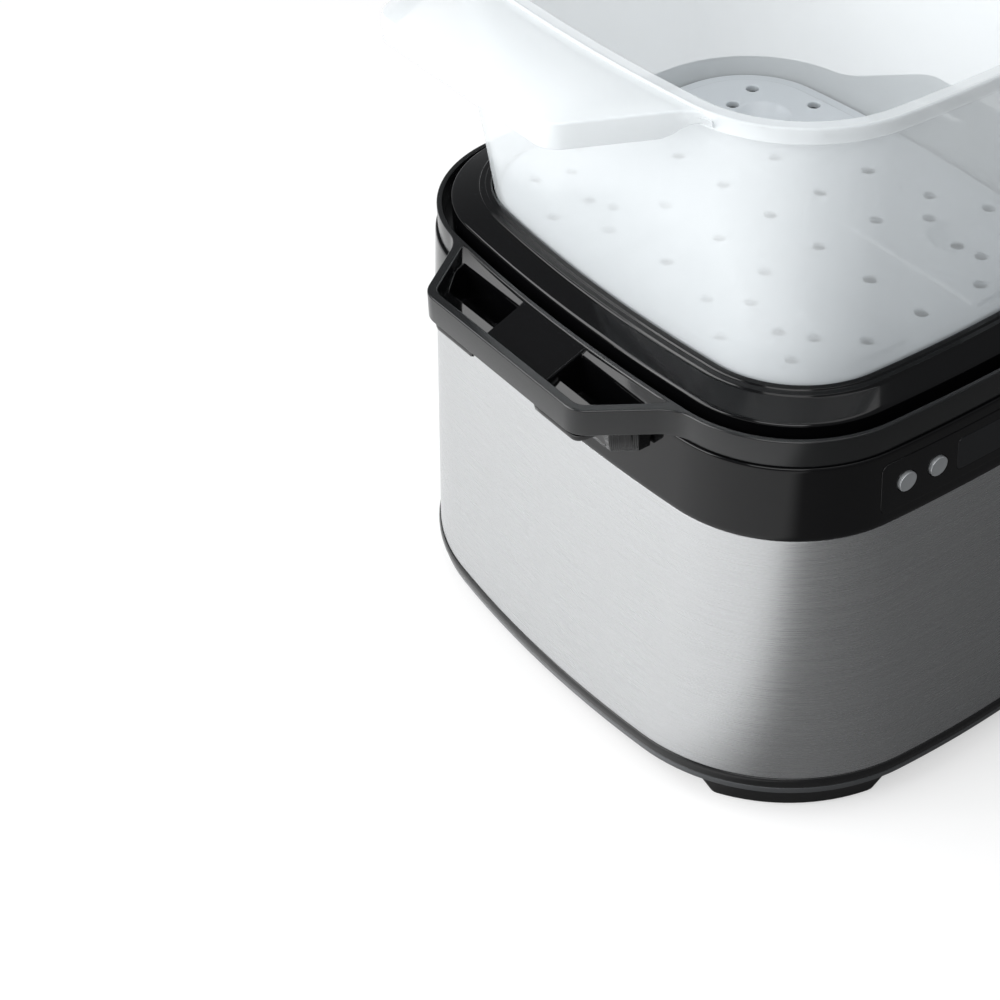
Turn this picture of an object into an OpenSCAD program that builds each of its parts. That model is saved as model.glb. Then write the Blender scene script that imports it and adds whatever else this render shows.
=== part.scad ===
// Counter-top yogurt maker of the electric steamer kind: a heated water base with a
// brushed steel sleeve, a handle frame, a drip tray and a lift-off basket with a loose floor.
// Millimetres, Z up. The origin is on the bench, under the middle of the base.
// X runs from handle to handle, and the control panel faces -Y.

/* [Handle frame] */
// Width of the frame without its handles
frame_w = 261; // [250:1:272]
// Depth of the frame
frame_d = 304; // [294:1:314]
// Corner radius of the frame
frame_corner = 70; // [62:1:78]
// Height of the frame band
frame_h = 14; // [12:0.5:18]
// Thickness of the frame band
frame_wall = 3; // [2.5:0.1:4]
// How far the long sides bow outwards
side_bow = 4; // [2:0.5:6]
// How far the front and the back bow outwards
end_bow = 1.6; // [1:0.1:3]
// Thickness of the ledge that carries the drip tray
ledge_t = 2; // [1.6:0.2:3]
// Width of the ledge inside the band
ledge_w = 10; // [8:0.5:12]

/* [Base handles] */
// How far a handle stands out from the frame
handle_reach = 33; // [28:1:40]
// Length of the straight outer grip
handle_grip = 116; // [96:2:130]
// Length of the handle where it joins the frame
handle_root = 172; // [150:2:180]
// Radius of the inside corner where a handle leaves the frame
root_blend = 12; // [4:1:20]
// Thickness of the grip wall
handle_wall = 5; // [4:0.5:6]
// Slope of the well floor, in degrees
well_slope = 28; // [22:1:30]
// Slope of the bridge between the two finger pockets, in degrees
bridge_slope = 20; // [14:1:24]
// Length of the bridge between the two finger pockets
bridge_l = 48; // [40:1:60]
// Thickness of the well floor
well_t = 2.5; // [2:0.1:3]
// Length of one finger pocket
pocket_l = 46; // [36:1:50]
// Width of a finger pocket
pocket_w = 14; // [11:0.5:15]
// Depth of a finger pocket below the frame
pocket_depth = 10; // [7:0.5:12]

/* [Upper housing] */
// Height of the black band between the sleeve and the frame
housing_h = 40; // [36:1:48]
// Wall of the upper housing
housing_wall = 2.5; // [2:0.1:3]
// How far the band stands proud of the frame
housing_proud = 1.4; // [0.8:0.1:2]
// Diameter of the four screw posts
post_d = 8; // [7:0.5:8.5]
// Distance of a screw post from the middle, front to back
post_y = 40; // [25:1:50]

/* [Steel sleeve] */
// Width of the sleeve at its top
sleeve_top_w = 266; // [262:1:270]
// Depth of the sleeve at its top
sleeve_top_d = 310; // [306:1:314]
// Corner radius of the sleeve at its top
sleeve_top_corner = 72.5; // [68:0.5:78]
// Width of the sleeve at its foot
sleeve_foot_w = 288; // [280:1:296]
// Depth of the sleeve at its foot
sleeve_foot_d = 336; // [328:1:344]
// Corner radius of the sleeve at its foot
sleeve_foot_corner = 100; // [90:1:110]
// Height of the sleeve
sleeve_h = 147.4; // [135:0.2:160]
// Thickness of the steel
sleeve_t = 0.8; // [0.6:0.1:1.2]

/* [Foot of the base] */
// Height of the base plate above the bench
foot_h = 12.8; // [10:0.2:16]
// Thickness of the rubber foot pads
pad_t = 1.5; // [1:0.1:2.5]
// Radial width of a corner foot
foot_w = 22; // [16:1:28]
// Angle round the corner at which a foot starts
foot_from = 25; // [20:1:32]
// Angle round the corner at which a foot ends
foot_to = 83; // [74:1:85]
// Height of the grey bevel band
bezel_h = 4.5; // [3:0.1:6]
// Height of the black trim ring
trim_h = 6.3; // [5:0.1:8]
// How far the trim ring stands proud of the steel
trim_proud = 1.2; // [0.6:0.1:1.6]
// Thickness of the base plate
plate_t = 3; // [2.5:0.1:4]

/* [Water tank] */
// Wall of the water tank
tank_wall = 2.5; // [2:0.1:3]
// Height of the tank floor above the bench
tank_floor_z = 90; // [84:1:100]
// How far the tank tapers in towards its floor
tank_taper = 17; // [12:1:22]
// Diameter of the heater opening in the tank floor
heater_bore = 140; // [120:2:150]
// Diameter of the heater plate
heater_d = 152; // [146:1:156]
// Thickness of the heater plate
heater_t = 1.2; // [1:0.1:2]
// Thickness of the silicone seal under the tank floor
seal_t = 1.4; // [1:0.1:2]
// Diameter of the heating tube
tube_d = 7; // [6:0.5:8]
// Radius of the heating tube's bend
tube_r = 48; // [40:1:52]
// Thickness of the aluminium heat spreader
spreader_t = 3.2; // [2:0.1:4]

/* [Control panel] */
// Width of the control fascia
fascia_w = 132; // [124:1:140]
// Height of the control fascia
fascia_h = 27; // [25:0.5:30]
// Width of the display window
window_w = 44; // [36:1:48]
// Height of the display window
window_h = 17; // [14:0.5:18]
// Diameter of a push button
button_d = 10; // [8:0.5:12]
// Travel of a push button
button_travel = 0.8; // [0.5:0.1:1]
// Distance of the inner buttons from the middle
button_x = 34; // [33:1:36]
// Spacing of the two buttons on one side
button_pitch = 18; // [16:0.5:20]

/* [Drip tray] */
// Wall of the drip tray
tray_wall = 2.3; // [2:0.1:3]
// Channel between the frame and the tray
tray_channel = 4.5; // [3.5:0.5:5.5]
// Height of the tray's outer edge above the frame
tray_edge = 3.6; // [2:0.2:6]
// Height of the seat lip above the tray's outer edge
tray_rise = 6.4; // [5:0.2:8]
// Depth of the recess that the basket stands in
recess_depth = 8.6; // [7:0.2:10]
// Depth of the dish below the recess
dish_depth = 7.2; // [6:0.2:9]
// Length of a steam port
port_l = 34; // [26:1:38]
// Width of a steam port
port_w = 9; // [7:0.5:11]

/* [Basket] */
// Width of the basket where it enters the tray
basket_w = 207.6; // [200:0.4:212]
// Depth of the basket where it enters the tray
basket_d = 254; // [246:1:258]
// Corner radius of the basket there
basket_corner = 51.6; // [48:0.4:56]
// Width of the basket's mouth
mouth_w = 239.4; // [232:0.2:246]
// Depth of the basket's mouth
mouth_d = 273; // [268:1:280]
// Corner radius of the mouth
mouth_corner = 58; // [54:0.5:62]
// Height from the tray's lip to the mouth
basket_h = 138.4; // [120:0.2:160]
// Wall of the basket
basket_wall = 2; // [1.6:0.1:2.6]
// Width of the flat ledge round the mouth
mouth_ledge = 5.6; // [4.5:0.1:7]
// Height of the lip that hangs from the ledge
lip_h = 6.5; // [5:0.5:9]
// How far a basket handle stands out from the mouth ledge
wing_reach = 51; // [40:1:54]
// Length of the outer edge of a basket handle
wing_grip = 120; // [100:2:130]
// Length of a basket handle where it joins the lip
wing_root = 176; // [160:2:184]
// Height of a basket handle's down-turned edge
wing_lip = 12; // [9:0.5:15]

/* [Basket floor] */
// Thickness of the floor panel
floor_t = 2.2; // [1.8:0.1:3]
// Height of the four raised pads
pad_rise = 1.4; // [0.8:0.1:2]
// Half width of the channel between left and right pads
channel_x = 20; // [14:1:22]
// Half width of the channel between front and back pads
channel_y = 18.5; // [14:0.5:22]
// Distance of an egg dimple from the middle, left to right
dimple_x = 56; // [52:0.5:60]
// Distance of an egg dimple from the middle, front to back
dimple_y = 70.6; // [66:0.2:74]
// Radius of an egg dimple at the surface
dimple_r = 14.8; // [12:0.2:17]
// Depth of an egg dimple
dimple_depth = 6; // [4:0.2:6.6]
// Diameter of a steam hole
hole_d = 6.5; // [5:0.1:7.5]

/* [Fits] */
// Gap between pieces that lift apart
lift_gap = 0.3; // [0.3:0.05:0.5]
// Side gap between the basket and the tray recess
seat_gap = 0.8; // [0.5:0.1:1.2]
// Radial gap round a push button
button_gap = 0.3; // [0.25:0.05:0.4]
// Bore of the cord bush
cord_bore = 7.4; // [6.8:0.1:9]
// Gap between a screw and its hole
screw_gap = 0.05; // [0.03:0.01:0.1]

/* [Hidden] */
$fn = 48;

corner_steps = 9;   // chords in one rounded corner
side_steps = 4;     // chords in one bowed side
eps = 0.01;

// Heights above the bench
z_plate = foot_h;
z_trim = z_plate + bezel_h;
z_sleeve = z_trim + trim_h;
z_housing = z_sleeve + sleeve_h;
z_frame = z_housing + housing_h;
z_rim = z_frame + frame_h;
z_flange = z_frame - tank_wall;
z_seat = z_rim + tray_edge + tray_rise - recess_depth;
z_lip = z_rim + tray_edge + tray_rise;
z_mouth = z_lip + basket_h;
z_panel = (z_frame + z_housing) / 2 + 0.5;

// ---------- outlines ----------
// A pillow outline is [half width, half depth, corner radius, side bow, end bow].
function pillow(w, d, r) = [w / 2, d / 2, r, side_bow, end_bow];
function grow(o, by) = [o[0] + by, o[1] + by, o[2] + by, o[3], o[4]];
function between(o, p, t) = [for (i = [0:4]) o[i] + (p[i] - o[i]) * t];

// Points of an arc from angle a0 up to, but not including, angle a1
function arc(cx, cy, r, a0, a1, n) =
    [for (i = [0:n - 1]) let (a = a0 + (a1 - a0) * i / n) [cx + r * cos(a), cy + r * sin(a)]];

// Radius and half angle of a shallow arc, from half its chord and its rise
function bow_radius(half, rise) = (half * half + rise * rise) / (2 * rise);
function bow_angle(half, rise) = asin(half / bow_radius(half, rise));

// Four bowed sides joined by four corner arcs that run tangent to them
function outline(o) =
    let (cx = o[0] - o[2] - o[3], cy = o[1] - o[2] - o[4], r = o[2],
         rs = bow_radius(cy, o[3]), re = bow_radius(cx, o[4]),
         ts = bow_angle(cy, o[3]), te = bow_angle(cx, o[4]),
         sx = cx + o[3] - rs, ey = cy + o[4] - re)
    concat(
        arc(sx, 0, rs + r, -ts, ts, side_steps),
        arc(cx, cy, r, ts, 90 - te, corner_steps),
        arc(0, ey, re + r, 90 - te, 90 + te, side_steps),
        arc(-cx, cy, r, 90 + te, 180 - ts, corner_steps),
        arc(-sx, 0, rs + r, 180 - ts, 180 + ts, side_steps),
        arc(-cx, -cy, r, 180 + ts, 270 - te, corner_steps),
        arc(0, -ey, re + r, 270 - te, 270 + te, side_steps),
        arc(cx, -cy, r, 270 + te, 360 - ts, corner_steps));

// Where the front face of a pillow lies at a distance x from the middle
function front_y(o, x) =
    let (cx = o[0] - o[2] - o[3], re = bow_radius(cx, o[4]))
    -(o[1] - re - o[2] + sqrt(pow(re + o[2], 2) - x * x));

frame_o = pillow(frame_w, frame_d, frame_corner);
sleeve_top_o = pillow(sleeve_top_w, sleeve_top_d, sleeve_top_corner);
sleeve_foot_o = pillow(sleeve_foot_w, sleeve_foot_d, sleeve_foot_corner);
basket_o = pillow(basket_w, basket_d, basket_corner);
mouth_o = pillow(mouth_w, mouth_d, mouth_corner);
tray_o = grow(frame_o, -frame_wall - tray_channel);
// The tank and the posts stand inside the frame and inside the sleeve, whichever is the smaller
core_side = 2.5;        // what the sleeve's top keeps outside that outline at the sides
core_end = 3;           // and at the ends
core_o = pillow(min(frame_w, sleeve_top_w - 2 * core_side), min(frame_d, sleeve_top_d - 2 * core_end), frame_corner);
tank_o = grow(core_o, -frame_wall - ledge_w - 0.5);
function sleeve_at(z) = between(sleeve_foot_o, sleeve_top_o, (z - z_sleeve) / sleeve_h);

// Points of a polygon whose corners [x, y, radius] are rounded by arcs of n chords
function unit(v) = v / norm(v);
function rounded(c, n = 6) = [for (i = [0:len(c) - 1])
    let (p = [c[i][0], c[i][1]], m = len(c),
         a = unit([c[(i + m - 1) % m][0], c[(i + m - 1) % m][1]] - p),
         b = unit([c[(i + 1) % m][0], c[(i + 1) % m][1]] - p),
         half = acos(a * b) / 2, run = c[i][2] / tan(half),
         mid = p + unit(a + b) * c[i][2] / sin(half),
         s = p + a * run - mid, e = p + b * run - mid,
         a0 = atan2(s[1], s[0]), turn = atan2(s[0] * e[1] - s[1] * e[0], s * e))
    each (c[i][2] == 0 ? [p] : [for (k = [0:n]) mid + c[i][2] * [cos(a0 + turn * k / n), sin(a0 + turn * k / n)]])];

// ---------- solids from outlines ----------
// A section is [pillow outline, height].
function ring(s) = [for (p = outline(s[0])) [p[0], p[1], s[1]]];
function band(n, i, j) = [for (k = [0:n - 1])
    [i * n + k, j * n + k, j * n + (k + 1) % n, i * n + (k + 1) % n]];

// A wall: its sections go up the outside, over, down the inside and back to the first
module wall(sections) {
    rings = [for (s = sections) ring(s)];
    n = len(rings[0]);
    m = len(rings);
    polyhedron([for (r = rings) each r],
        [for (i = [0:m - 1]) each band(n, i, (i + 1) % m)], convexity = 6);
}

// A pan: its sections go from the underside up the outside, over and down to its floor
module pan(sections) {
    rings = [for (s = sections) ring(s)];
    n = len(rings[0]);
    m = len(rings);
    polyhedron([for (r = rings) each r],
        concat([for (i = [0:m - 2]) each band(n, i, i + 1)],
            [[for (k = [0:n - 1]) k], [for (k = [n - 1:-1:0]) (m - 1) * n + k]]), convexity = 6);
}

module slab(o, z0, z1) {
    translate([0, 0, z0]) linear_extrude(z1 - z0) polygon(outline(o));
}

module hoop(o, t, z0, z1) {
    translate([0, 0, z0]) linear_extrude(z1 - z0) difference() {
        polygon(outline(o));
        polygon(outline(grow(o, -t)));
    }
}

// A straight pin or hole along Z
module pin(x, y, z0, z1, d) {
    translate([x, y, z0]) cylinder(h = z1 - z0, d = d);
}

// A round pin that runs along Y, from y0 to y1
module pin_y(x, z, y0, y1, d) {
    translate([x, y0, z]) rotate([-90, 0, 0]) cylinder(h = y1 - y0, d = d);
}

module slot_shape(l, w) {
    square([l - w, w], center = true);
    for (s = [-1, 1]) translate([s * (l - w) / 2, 0]) circle(d = w);
}

module round_rect(w, h, r) {
    square([w - 2 * r, h], center = true);
    square([w, h - 2 * r], center = true);
    for (x = [-1, 1], y = [-1, 1]) translate([x * (w / 2 - r), y * (h / 2 - r)]) circle(r);
}

// An upright plate in the XZ plane, from y0 to y1
module plate_y(w, h, r, y0, y1, z) {
    translate([0, y1, z]) rotate([90, 0, 0]) linear_extrude(y1 - y0) round_rect(w, h, r);
}

module at_corners() {
    for (sx = [-1, 1], sy = [-1, 1]) scale([sx, sy, 1]) children();
}

// ---------- foot of the base ----------
foot_end = 4;       // degrees by which a foot is shorter at the bench
foot_draft = 2;     // how far its outer face leans in
foot_steps = 8;
plate_inset = 1.2;
foot_inset = 0.6;   // how far a foot's outer face stands back from the plate's edge
pad_inset = 2;      // how far a pad stays back from the foot's edge
root = 1;           // how deep a foot or a post runs into the plate
vent_l = 46;
vent_w = 3.5;
vent_pitch = 9;
board_w = 104;
board_d = 72;
board_z = z_plate + plate_t + 11;
screw_d = 3.5;
head_d = 7;
head_h = 2;
post_x = core_o[0] + core_side - sleeve_t - housing_wall - post_d / 2 - 1.3;

// One corner foot between two heights: a curved wedge with slanted ends
function foot_ring(sx, sy, r0, r1, a0, a1, z) =
    let (o = sleeve_foot_o, cx = o[0] - o[2] - o[3], cy = o[1] - o[2] - o[4],
         fwd = [for (k = [0:foot_steps]) a0 + (a1 - a0) * k / foot_steps],
         back = [for (k = [foot_steps:-1:0]) a0 + (a1 - a0) * k / foot_steps],
         p = concat([for (a = fwd) [cx + r1 * cos(a), cy + r1 * sin(a)]],
             [for (a = back) [cx + r0 * cos(a), cy + r0 * sin(a)]]),
         q = [for (v = p) [sx * v[0], sy * v[1], z]])
    sx * sy > 0 ? q : [for (k = [len(q) - 1:-1:0]) q[k]];

module foot(sx, sy, z0, z1) {
    r = sleeve_foot_corner - plate_inset - foot_inset;
    lo = foot_ring(sx, sy, r - foot_w, r - foot_draft, foot_from + foot_end, foot_to - foot_end, z0);
    t = (z1 - z0) / (z_plate - pad_t);
    hi = foot_ring(sx, sy, r - foot_w, r - foot_draft * (1 - t),
        foot_from + foot_end * (1 - t), foot_to - foot_end * (1 - t), z1);
    n = len(lo);
    polyhedron(concat(lo, hi), concat(band(n, 0, 1),
        [[for (k = [0:n - 1]) k], [for (k = [n - 1:-1:0]) n + k]]));
}

module base_plate() {
    color("#1a1a1b") difference() {
        union() {
            slab(grow(sleeve_foot_o, -plate_inset), z_plate, z_plate + plate_t);
            for (sx = [-1, 1], sy = [-1, 1]) foot(sx, sy, pad_t, z_plate + root);
            for (x = [-1, 1], y = [-1, 1])
                pin(x * (board_w / 2 - 5), y * (board_d / 2 - 5), z_plate + plate_t - root, board_z, 7);
        }
        for (x = [-1, 1], y = [-1, 1]) {
            pin(x * (board_w / 2 - 5), y * (board_d / 2 - 5), z_plate + plate_t, board_z + eps,
                screw_d + 2 * screw_gap);
            pin(x * post_x, y * post_y, z_plate - eps, z_plate + plate_t + eps,
                screw_d + 2 * screw_gap);
        }
        for (s = [-1, 1], k = [-3:3]) translate([k * vent_pitch, s * 95, z_plate - eps])
            linear_extrude(plate_t + 2 * eps) rotate(90) slot_shape(vent_l, vent_w);
    }
}

// The pads are plain prisms, a little smaller than the feet that they are stuck to
module foot_pads() {
    r = sleeve_foot_corner - plate_inset - foot_inset - foot_draft;
    color("#2b2b2c") for (sx = [-1, 1], sy = [-1, 1]) linear_extrude(pad_t)
        polygon([for (v = foot_ring(sx, sy, r - foot_w + foot_draft + pad_inset, r - pad_inset,
            foot_from + foot_end + pad_inset / 2, foot_to - foot_end - pad_inset / 2, 0)) [v[0], v[1]]]);
}

bezel_t = 3.4;
module base_bezel() {
    o = sleeve_foot_o;
    color("#4c4e50") wall([
        [grow(o, -0.6), z_plate], [grow(o, 0.5), z_trim - 0.3], [grow(o, 0.3), z_trim],
        [grow(o, -plate_inset - bezel_t), z_trim],
        [grow(o, -plate_inset - bezel_t), z_plate + plate_t],
        [grow(o, -plate_inset + 0.05), z_plate + plate_t], [grow(o, -plate_inset + 0.05), z_plate]]);
}

trim_lip = 8;
module lower_trim() {
    o = sleeve_foot_o;
    lip = z_sleeve + trim_lip;
    color("#111112") wall([
        [grow(o, 0.2), z_trim], [grow(o, trim_proud - 0.1), z_trim + 1.2],
        [grow(o, trim_proud), z_sleeve - 1.8], [grow(o, 0.4), z_sleeve],
        [grow(o, -sleeve_t - 0.05), z_sleeve], [grow(sleeve_at(lip), -sleeve_t - 0.05), lip],
        [grow(sleeve_at(lip), -sleeve_t - 2), lip], [grow(o, -sleeve_t - 2), z_trim]]);
}

gland_z = 46;
gland_d = 15;
gland_flange = 22;
gland_l = 10;           // how far the bush reaches in behind the steel
gland_collar = 2;
sleeve_lean = atan((sleeve_foot_d - sleeve_top_d) / 2 / sleeve_h);
gland_y = sleeve_at(gland_z)[1];

// Places a piece on the back of the sleeve, with its own Z pointing outwards
module on_back() {
    translate([0, gland_y, gland_z]) rotate([-90 + sleeve_lean, 0, 0]) children();
}

module steel_sleeve() {
    color("#c8cacc") difference() {
        wall([[sleeve_foot_o, z_sleeve], [sleeve_top_o, z_housing],
            [grow(sleeve_top_o, -sleeve_t), z_housing], [grow(sleeve_foot_o, -sleeve_t), z_sleeve]]);
        on_back() translate([0, 0, -gland_l]) cylinder(h = 20, d = gland_d + 2 * screw_gap);
    }
}

module cord_gland() {
    color("#161617") on_back() difference() {
        union() {
            cylinder(h = 1.6, d = gland_flange);
            translate([0, 0, -gland_l]) cylinder(h = gland_l + eps, d = gland_d);
            translate([0, 0, -sleeve_t - liner_gap - housing_wall - 0.5 - gland_collar])
                cylinder(h = gland_collar, d = gland_d + 5);
        }
        translate([0, 0, -gland_l - 1]) cylinder(h = 20, d = cord_bore);
    }
}

// ---------- upper housing ----------
skirt_h = 7;            // how far the housing reaches in behind the steel
liner_gap = 0.6;        // between the steel and the liner behind it
liner_seam = 1;          // between two panels of the liner
housing_lo_o = grow(sleeve_top_o, 0.7);
housing_hi_o = grow(frame_o, housing_proud);
function housing_at(z) = between(housing_lo_o, housing_hi_o, (z - z_housing) / housing_h);
inner_o = grow(frame_o, -frame_wall - 0.5);
tank_seat_o = grow(tank_o, tank_wall + 0.3);
z_skirt = z_housing - skirt_h;
panel_recess = 1.4;
boss_d = 6;
boss_x = button_x + button_pitch + button_d / 2 + 5;
board_gap = 8.8;
panel_o = housing_at(z_panel);
board_y = front_y(panel_o, 0) + housing_wall + board_gap;
button_xs = [-button_x - button_pitch, -button_x, button_x, button_x + button_pitch];

module panel_cut(w, h, r, y0, y1) {
    plate_y(w, h, r, y0, y1, z_panel);
}

// Five panels between the trim's inner lip and the housing, which stiffen the steel from behind
module body_liner() {
    lo = z_sleeve + trim_lip + 0.2;
    hi = z_skirt - 0.2;
    lo_o = grow(sleeve_at(lo), -sleeve_t - liner_gap);
    hi_o = grow(sleeve_at(hi), -sleeve_t - liner_gap);
    color("#0e0e0f") difference() {
        wall([[lo_o, lo], [hi_o, hi], [grow(hi_o, -housing_wall), hi], [grow(lo_o, -housing_wall), lo]]);
        on_back() translate([0, 0, -gland_l - 1]) cylinder(h = 20, d = gland_d + 2 * screw_gap);
        translate([0, 0, (lo + hi) / 2]) {
            cube([2 * sleeve_foot_w, liner_seam, hi - lo + 2], center = true);
            translate([0, -sleeve_foot_d / 2, 0]) cube([liner_seam, sleeve_foot_d, hi - lo + 2], center = true);
            for (x = [-1, 1])
                translate([x * 2.5 * gland_d, sleeve_foot_d / 2, 0]) cube([liner_seam, sleeve_foot_d, hi - lo + 2], center = true);
        }
    }
}

module upper_housing() {
    skirt_o = grow(sleeve_at(z_skirt), -sleeve_t - 0.1);
    color("#0e0e0f") difference() {
        union() {
            wall([
                [skirt_o, z_skirt], [grow(sleeve_top_o, -sleeve_t - 0.1), z_housing],
                [grow(sleeve_top_o, -0.1), z_housing],
                [grow(sleeve_top_o, 0.5), z_housing + 0.8], [housing_lo_o, z_housing + 2.5],
                [housing_hi_o, z_frame - 1.2], [grow(housing_hi_o, -0.5), z_frame],
                [inner_o, z_frame], [inner_o, z_flange],
                [tank_seat_o, z_flange], [tank_seat_o, z_flange - housing_wall],
                [grow(housing_at(z_flange - housing_wall), -housing_wall), z_flange - housing_wall],
                [grow(housing_lo_o, -housing_wall), z_housing + 3],
                [grow(skirt_o, -housing_wall), z_skirt]]);
            for (x = [-1, 1], y = [-1, 1])
                pin(x * post_x, y * post_y, z_plate + plate_t, z_flange - housing_wall + eps, post_d);
            for (x = [-1, 1])
                pin_y(x * boss_x, z_panel, front_y(panel_o, boss_x) + 2, board_y, boss_d);
        }
        for (x = [-1, 1], y = [-1, 1])
            pin(x * post_x, y * post_y, z_plate, z_plate + plate_t + 16, screw_d + 2 * screw_gap);
        for (x = [-1, 1]) pin_y(x * boss_x, z_panel, board_y - 5, board_y + 1, 2.2);
        panel_layer(fascia_w + 0.2, fascia_h + 0.2, 4.1, 5, panel_recess);
        panel_cut(window_w - 2, window_h - 2, 2, -frame_d, board_y - 1);
        for (x = button_xs) pin_y(x, z_panel, -frame_d, board_y - 1, button_d + 2 * button_gap);
    }
}

// ---------- handle frame ----------
// A loop handle seen from above, inset by t: a trapezoid from x0, half h0, out to x1, half h1
function trapezoid(side, x0, x1, h0, h1, r, t) =
    let (k = (h0 - h1) / (x1 - x0), drop = t * sqrt(1 + k * k), h = h1 + k * t - drop)
    rounded([[side * x0, -side * (h0 - drop), 0], [side * (x1 - t), -side * h, r],
        [side * (x1 - t), side * h, r], [side * x0, side * (h0 - drop), 0]]);

grip_x = frame_w / 2 + handle_reach;
root_x = frame_w / 2 - side_bow - frame_wall / 2;
grip_round = 14;
function grip(side, t) =
    trapezoid(side, root_x, grip_x, handle_root / 2, handle_grip / 2, grip_round - t, t);

// Fills the inside corners of a shape with a radius
module blend(r) {
    offset(r = -r, $fn = 64) offset(r = r, $fn = 64) children();
}

module handle_frame() {
    color("#303234") difference() {
        union() {
            translate([0, 0, z_frame]) linear_extrude(frame_h) difference() {
                blend(root_blend) {
                    polygon(outline(frame_o));
                    for (s = [-1, 1]) polygon(grip(s, 0));
                }
                polygon(outline(grow(frame_o, -frame_wall)));
            }
            hoop(grow(frame_o, -frame_wall + 0.5), ledge_w + 0.5, z_frame, z_frame + ledge_t);
        }
        for (s = [-1, 1]) translate([0, 0, z_frame - 1]) linear_extrude(frame_h + 2) difference() {
            polygon(grip(s, handle_wall));
            polygon(outline(frame_o));
        }
    }
}

well_lip = 1.8;         // how far a well reaches under the frame band
well_drop = 3;          // how far the well's floor lies below the frame at the grip
curb_z = 6;             // height of the curb that closes a well against the frame
bridge_drop = 1;        // how far the bridge starts below the frame's rim
pocket_wall = 1.8;
pocket_x = frame_w / 2 + 1.5 + pocket_w / 2;
pocket_y = bridge_l / 2 + pocket_l / 2;
z_pocket = z_frame - pocket_depth;

// The two finger pockets of one well, cut back where the loop narrows
module pockets(s, more, z0, z1) {
    translate([0, 0, z0]) linear_extrude(z1 - z0) intersection() {
        for (t = [-1, 1]) translate([s * pocket_x, t * pocket_y])
            round_rect(pocket_w + 2 * more, pocket_l + 2 * more, 2 + more);
        polygon(grip(s, handle_wall + 2 - more));
    }
}

// A slab under a plane that passes through [s * x, z] and falls outwards
module sloped(s, x, z, angle, t) {
    translate([s * x, 0, z]) rotate([0, s * angle, 0]) translate([-60, -100, -t]) cube([120, 200, t]);
}

// What lies inside one loop of the frame, and a little way under it
module loop_space(s) {
    translate([0, 0, z_frame - 12]) linear_extrude(12) polygon(grip(s, handle_wall - well_lip));
    translate([0, 0, z_frame - eps]) linear_extrude(frame_h) polygon(grip(s, handle_wall + 0.05));
}

module handle_wells() {
    color("#0c0c0d") for (s = [-1, 1]) difference() {
        union() {
            intersection() {
                loop_space(s);
                sloped(s, grip_x - handle_wall, z_frame - well_drop, well_slope, well_t);
            }
            intersection() {
                loop_space(s);
                translate([-200, -bridge_l / 2, 0]) cube([400, bridge_l, 400]);
                sloped(s, frame_w / 2, z_rim - bridge_drop, bridge_slope, well_t);
            }
            for (t = [-1, 1]) intersection() {
                loop_space(s);
                translate([-200, t * (bridge_l / 2 - 1) - 1, 0]) cube([400, 2, 400]);
                sloped(s, frame_w / 2, z_rim - bridge_drop, bridge_slope, 40);
                translate([s * (grip_x - handle_wall), 0, z_frame - well_drop]) rotate([0, s * well_slope, 0])
                    translate([-60, -100, -1]) cube([120, 200, 40]);
            }
            translate([0, 0, z_frame - curb_z]) linear_extrude(curb_z) difference() {
                polygon(grip(s, handle_wall - well_lip));
                polygon(grip(s, handle_wall + 0.4));
            }
            pockets(s, pocket_wall, z_pocket - pocket_wall, z_frame - 0.5);
        }
        pockets(s, 0, z_pocket, z_rim);
        translate([0, 0, z_frame - 30]) linear_extrude(30 - eps)
            polygon(outline(grow(housing_at(z_pocket - pocket_wall), 0.1)));
        translate([0, 0, z_frame - 1]) linear_extrude(frame_h + 2) polygon(outline(grow(frame_o, 0.05)));
    }
}

// ---------- water tank and heater ----------
tank_base_o = grow(tank_o, -tank_taper);
z_under = tank_floor_z - tank_wall;
z_heater = z_under - seal_t - heater_t;
z_dome = tank_floor_z + 0.5;
z_spreader = z_dome - heater_t - spreader_t;
z_clamp = z_heater - 5.5;
clamp_t = 1.5;
clamp_r = heater_d / 2 + 6.5;
clamp_count = 6;
tank_boss_d = 8;

module round_clamps() {
    for (k = [0:clamp_count - 1]) rotate(360 * k / clamp_count) translate([clamp_r, 0, 0]) children();
}

module water_tank() {
    color("#26282a") difference() {
        union() {
            pan([
                [grow(tank_base_o, tank_wall - 1.5), z_under], [grow(tank_base_o, tank_wall), z_under + 1.5],
                [grow(tank_o, tank_wall), z_flange],
                [grow(inner_o, -0.2), z_flange], [grow(inner_o, -0.2), z_frame],
                [tank_o, z_frame], [tank_base_o, tank_floor_z + 3],
                [grow(tank_base_o, -3), tank_floor_z]]);
            round_clamps() translate([0, 0, z_clamp]) cylinder(h = z_under - z_clamp + eps, d = tank_boss_d);
        }
        translate([0, 0, z_under - 1]) cylinder(h = 10, d = heater_bore);
        round_clamps() translate([0, 0, z_clamp - 1])
            cylinder(h = z_under - z_clamp, d = screw_d + 2 * screw_gap);
    }
}

module tank_seal() {
    color("#b9bcbe") translate([0, 0, z_under - seal_t]) difference() {
        cylinder(h = seal_t, d = heater_d);
        translate([0, 0, -1]) cylinder(h = seal_t + 2, d = heater_bore + 1);
    }
}

// The plate is pressed up so that its middle stands in the tank's opening
module heater_plate() {
    r0 = heater_bore / 2 - 4;
    r1 = heater_bore / 2 - 9;
    color("#d4d6d8") rotate_extrude() polygon([
        [0, z_dome - heater_t], [r1, z_dome - heater_t], [r0, z_heater], [heater_d / 2, z_heater],
        [heater_d / 2, z_heater + heater_t], [r0 + 0.6, z_heater + heater_t],
        [r1 + 0.6, z_dome], [0, z_dome]]);
}

module heat_spreader() {
    color("#a9adb0") translate([0, 0, z_spreader]) cylinder(h = spreader_t, r = tube_r + tube_d);
}

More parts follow.
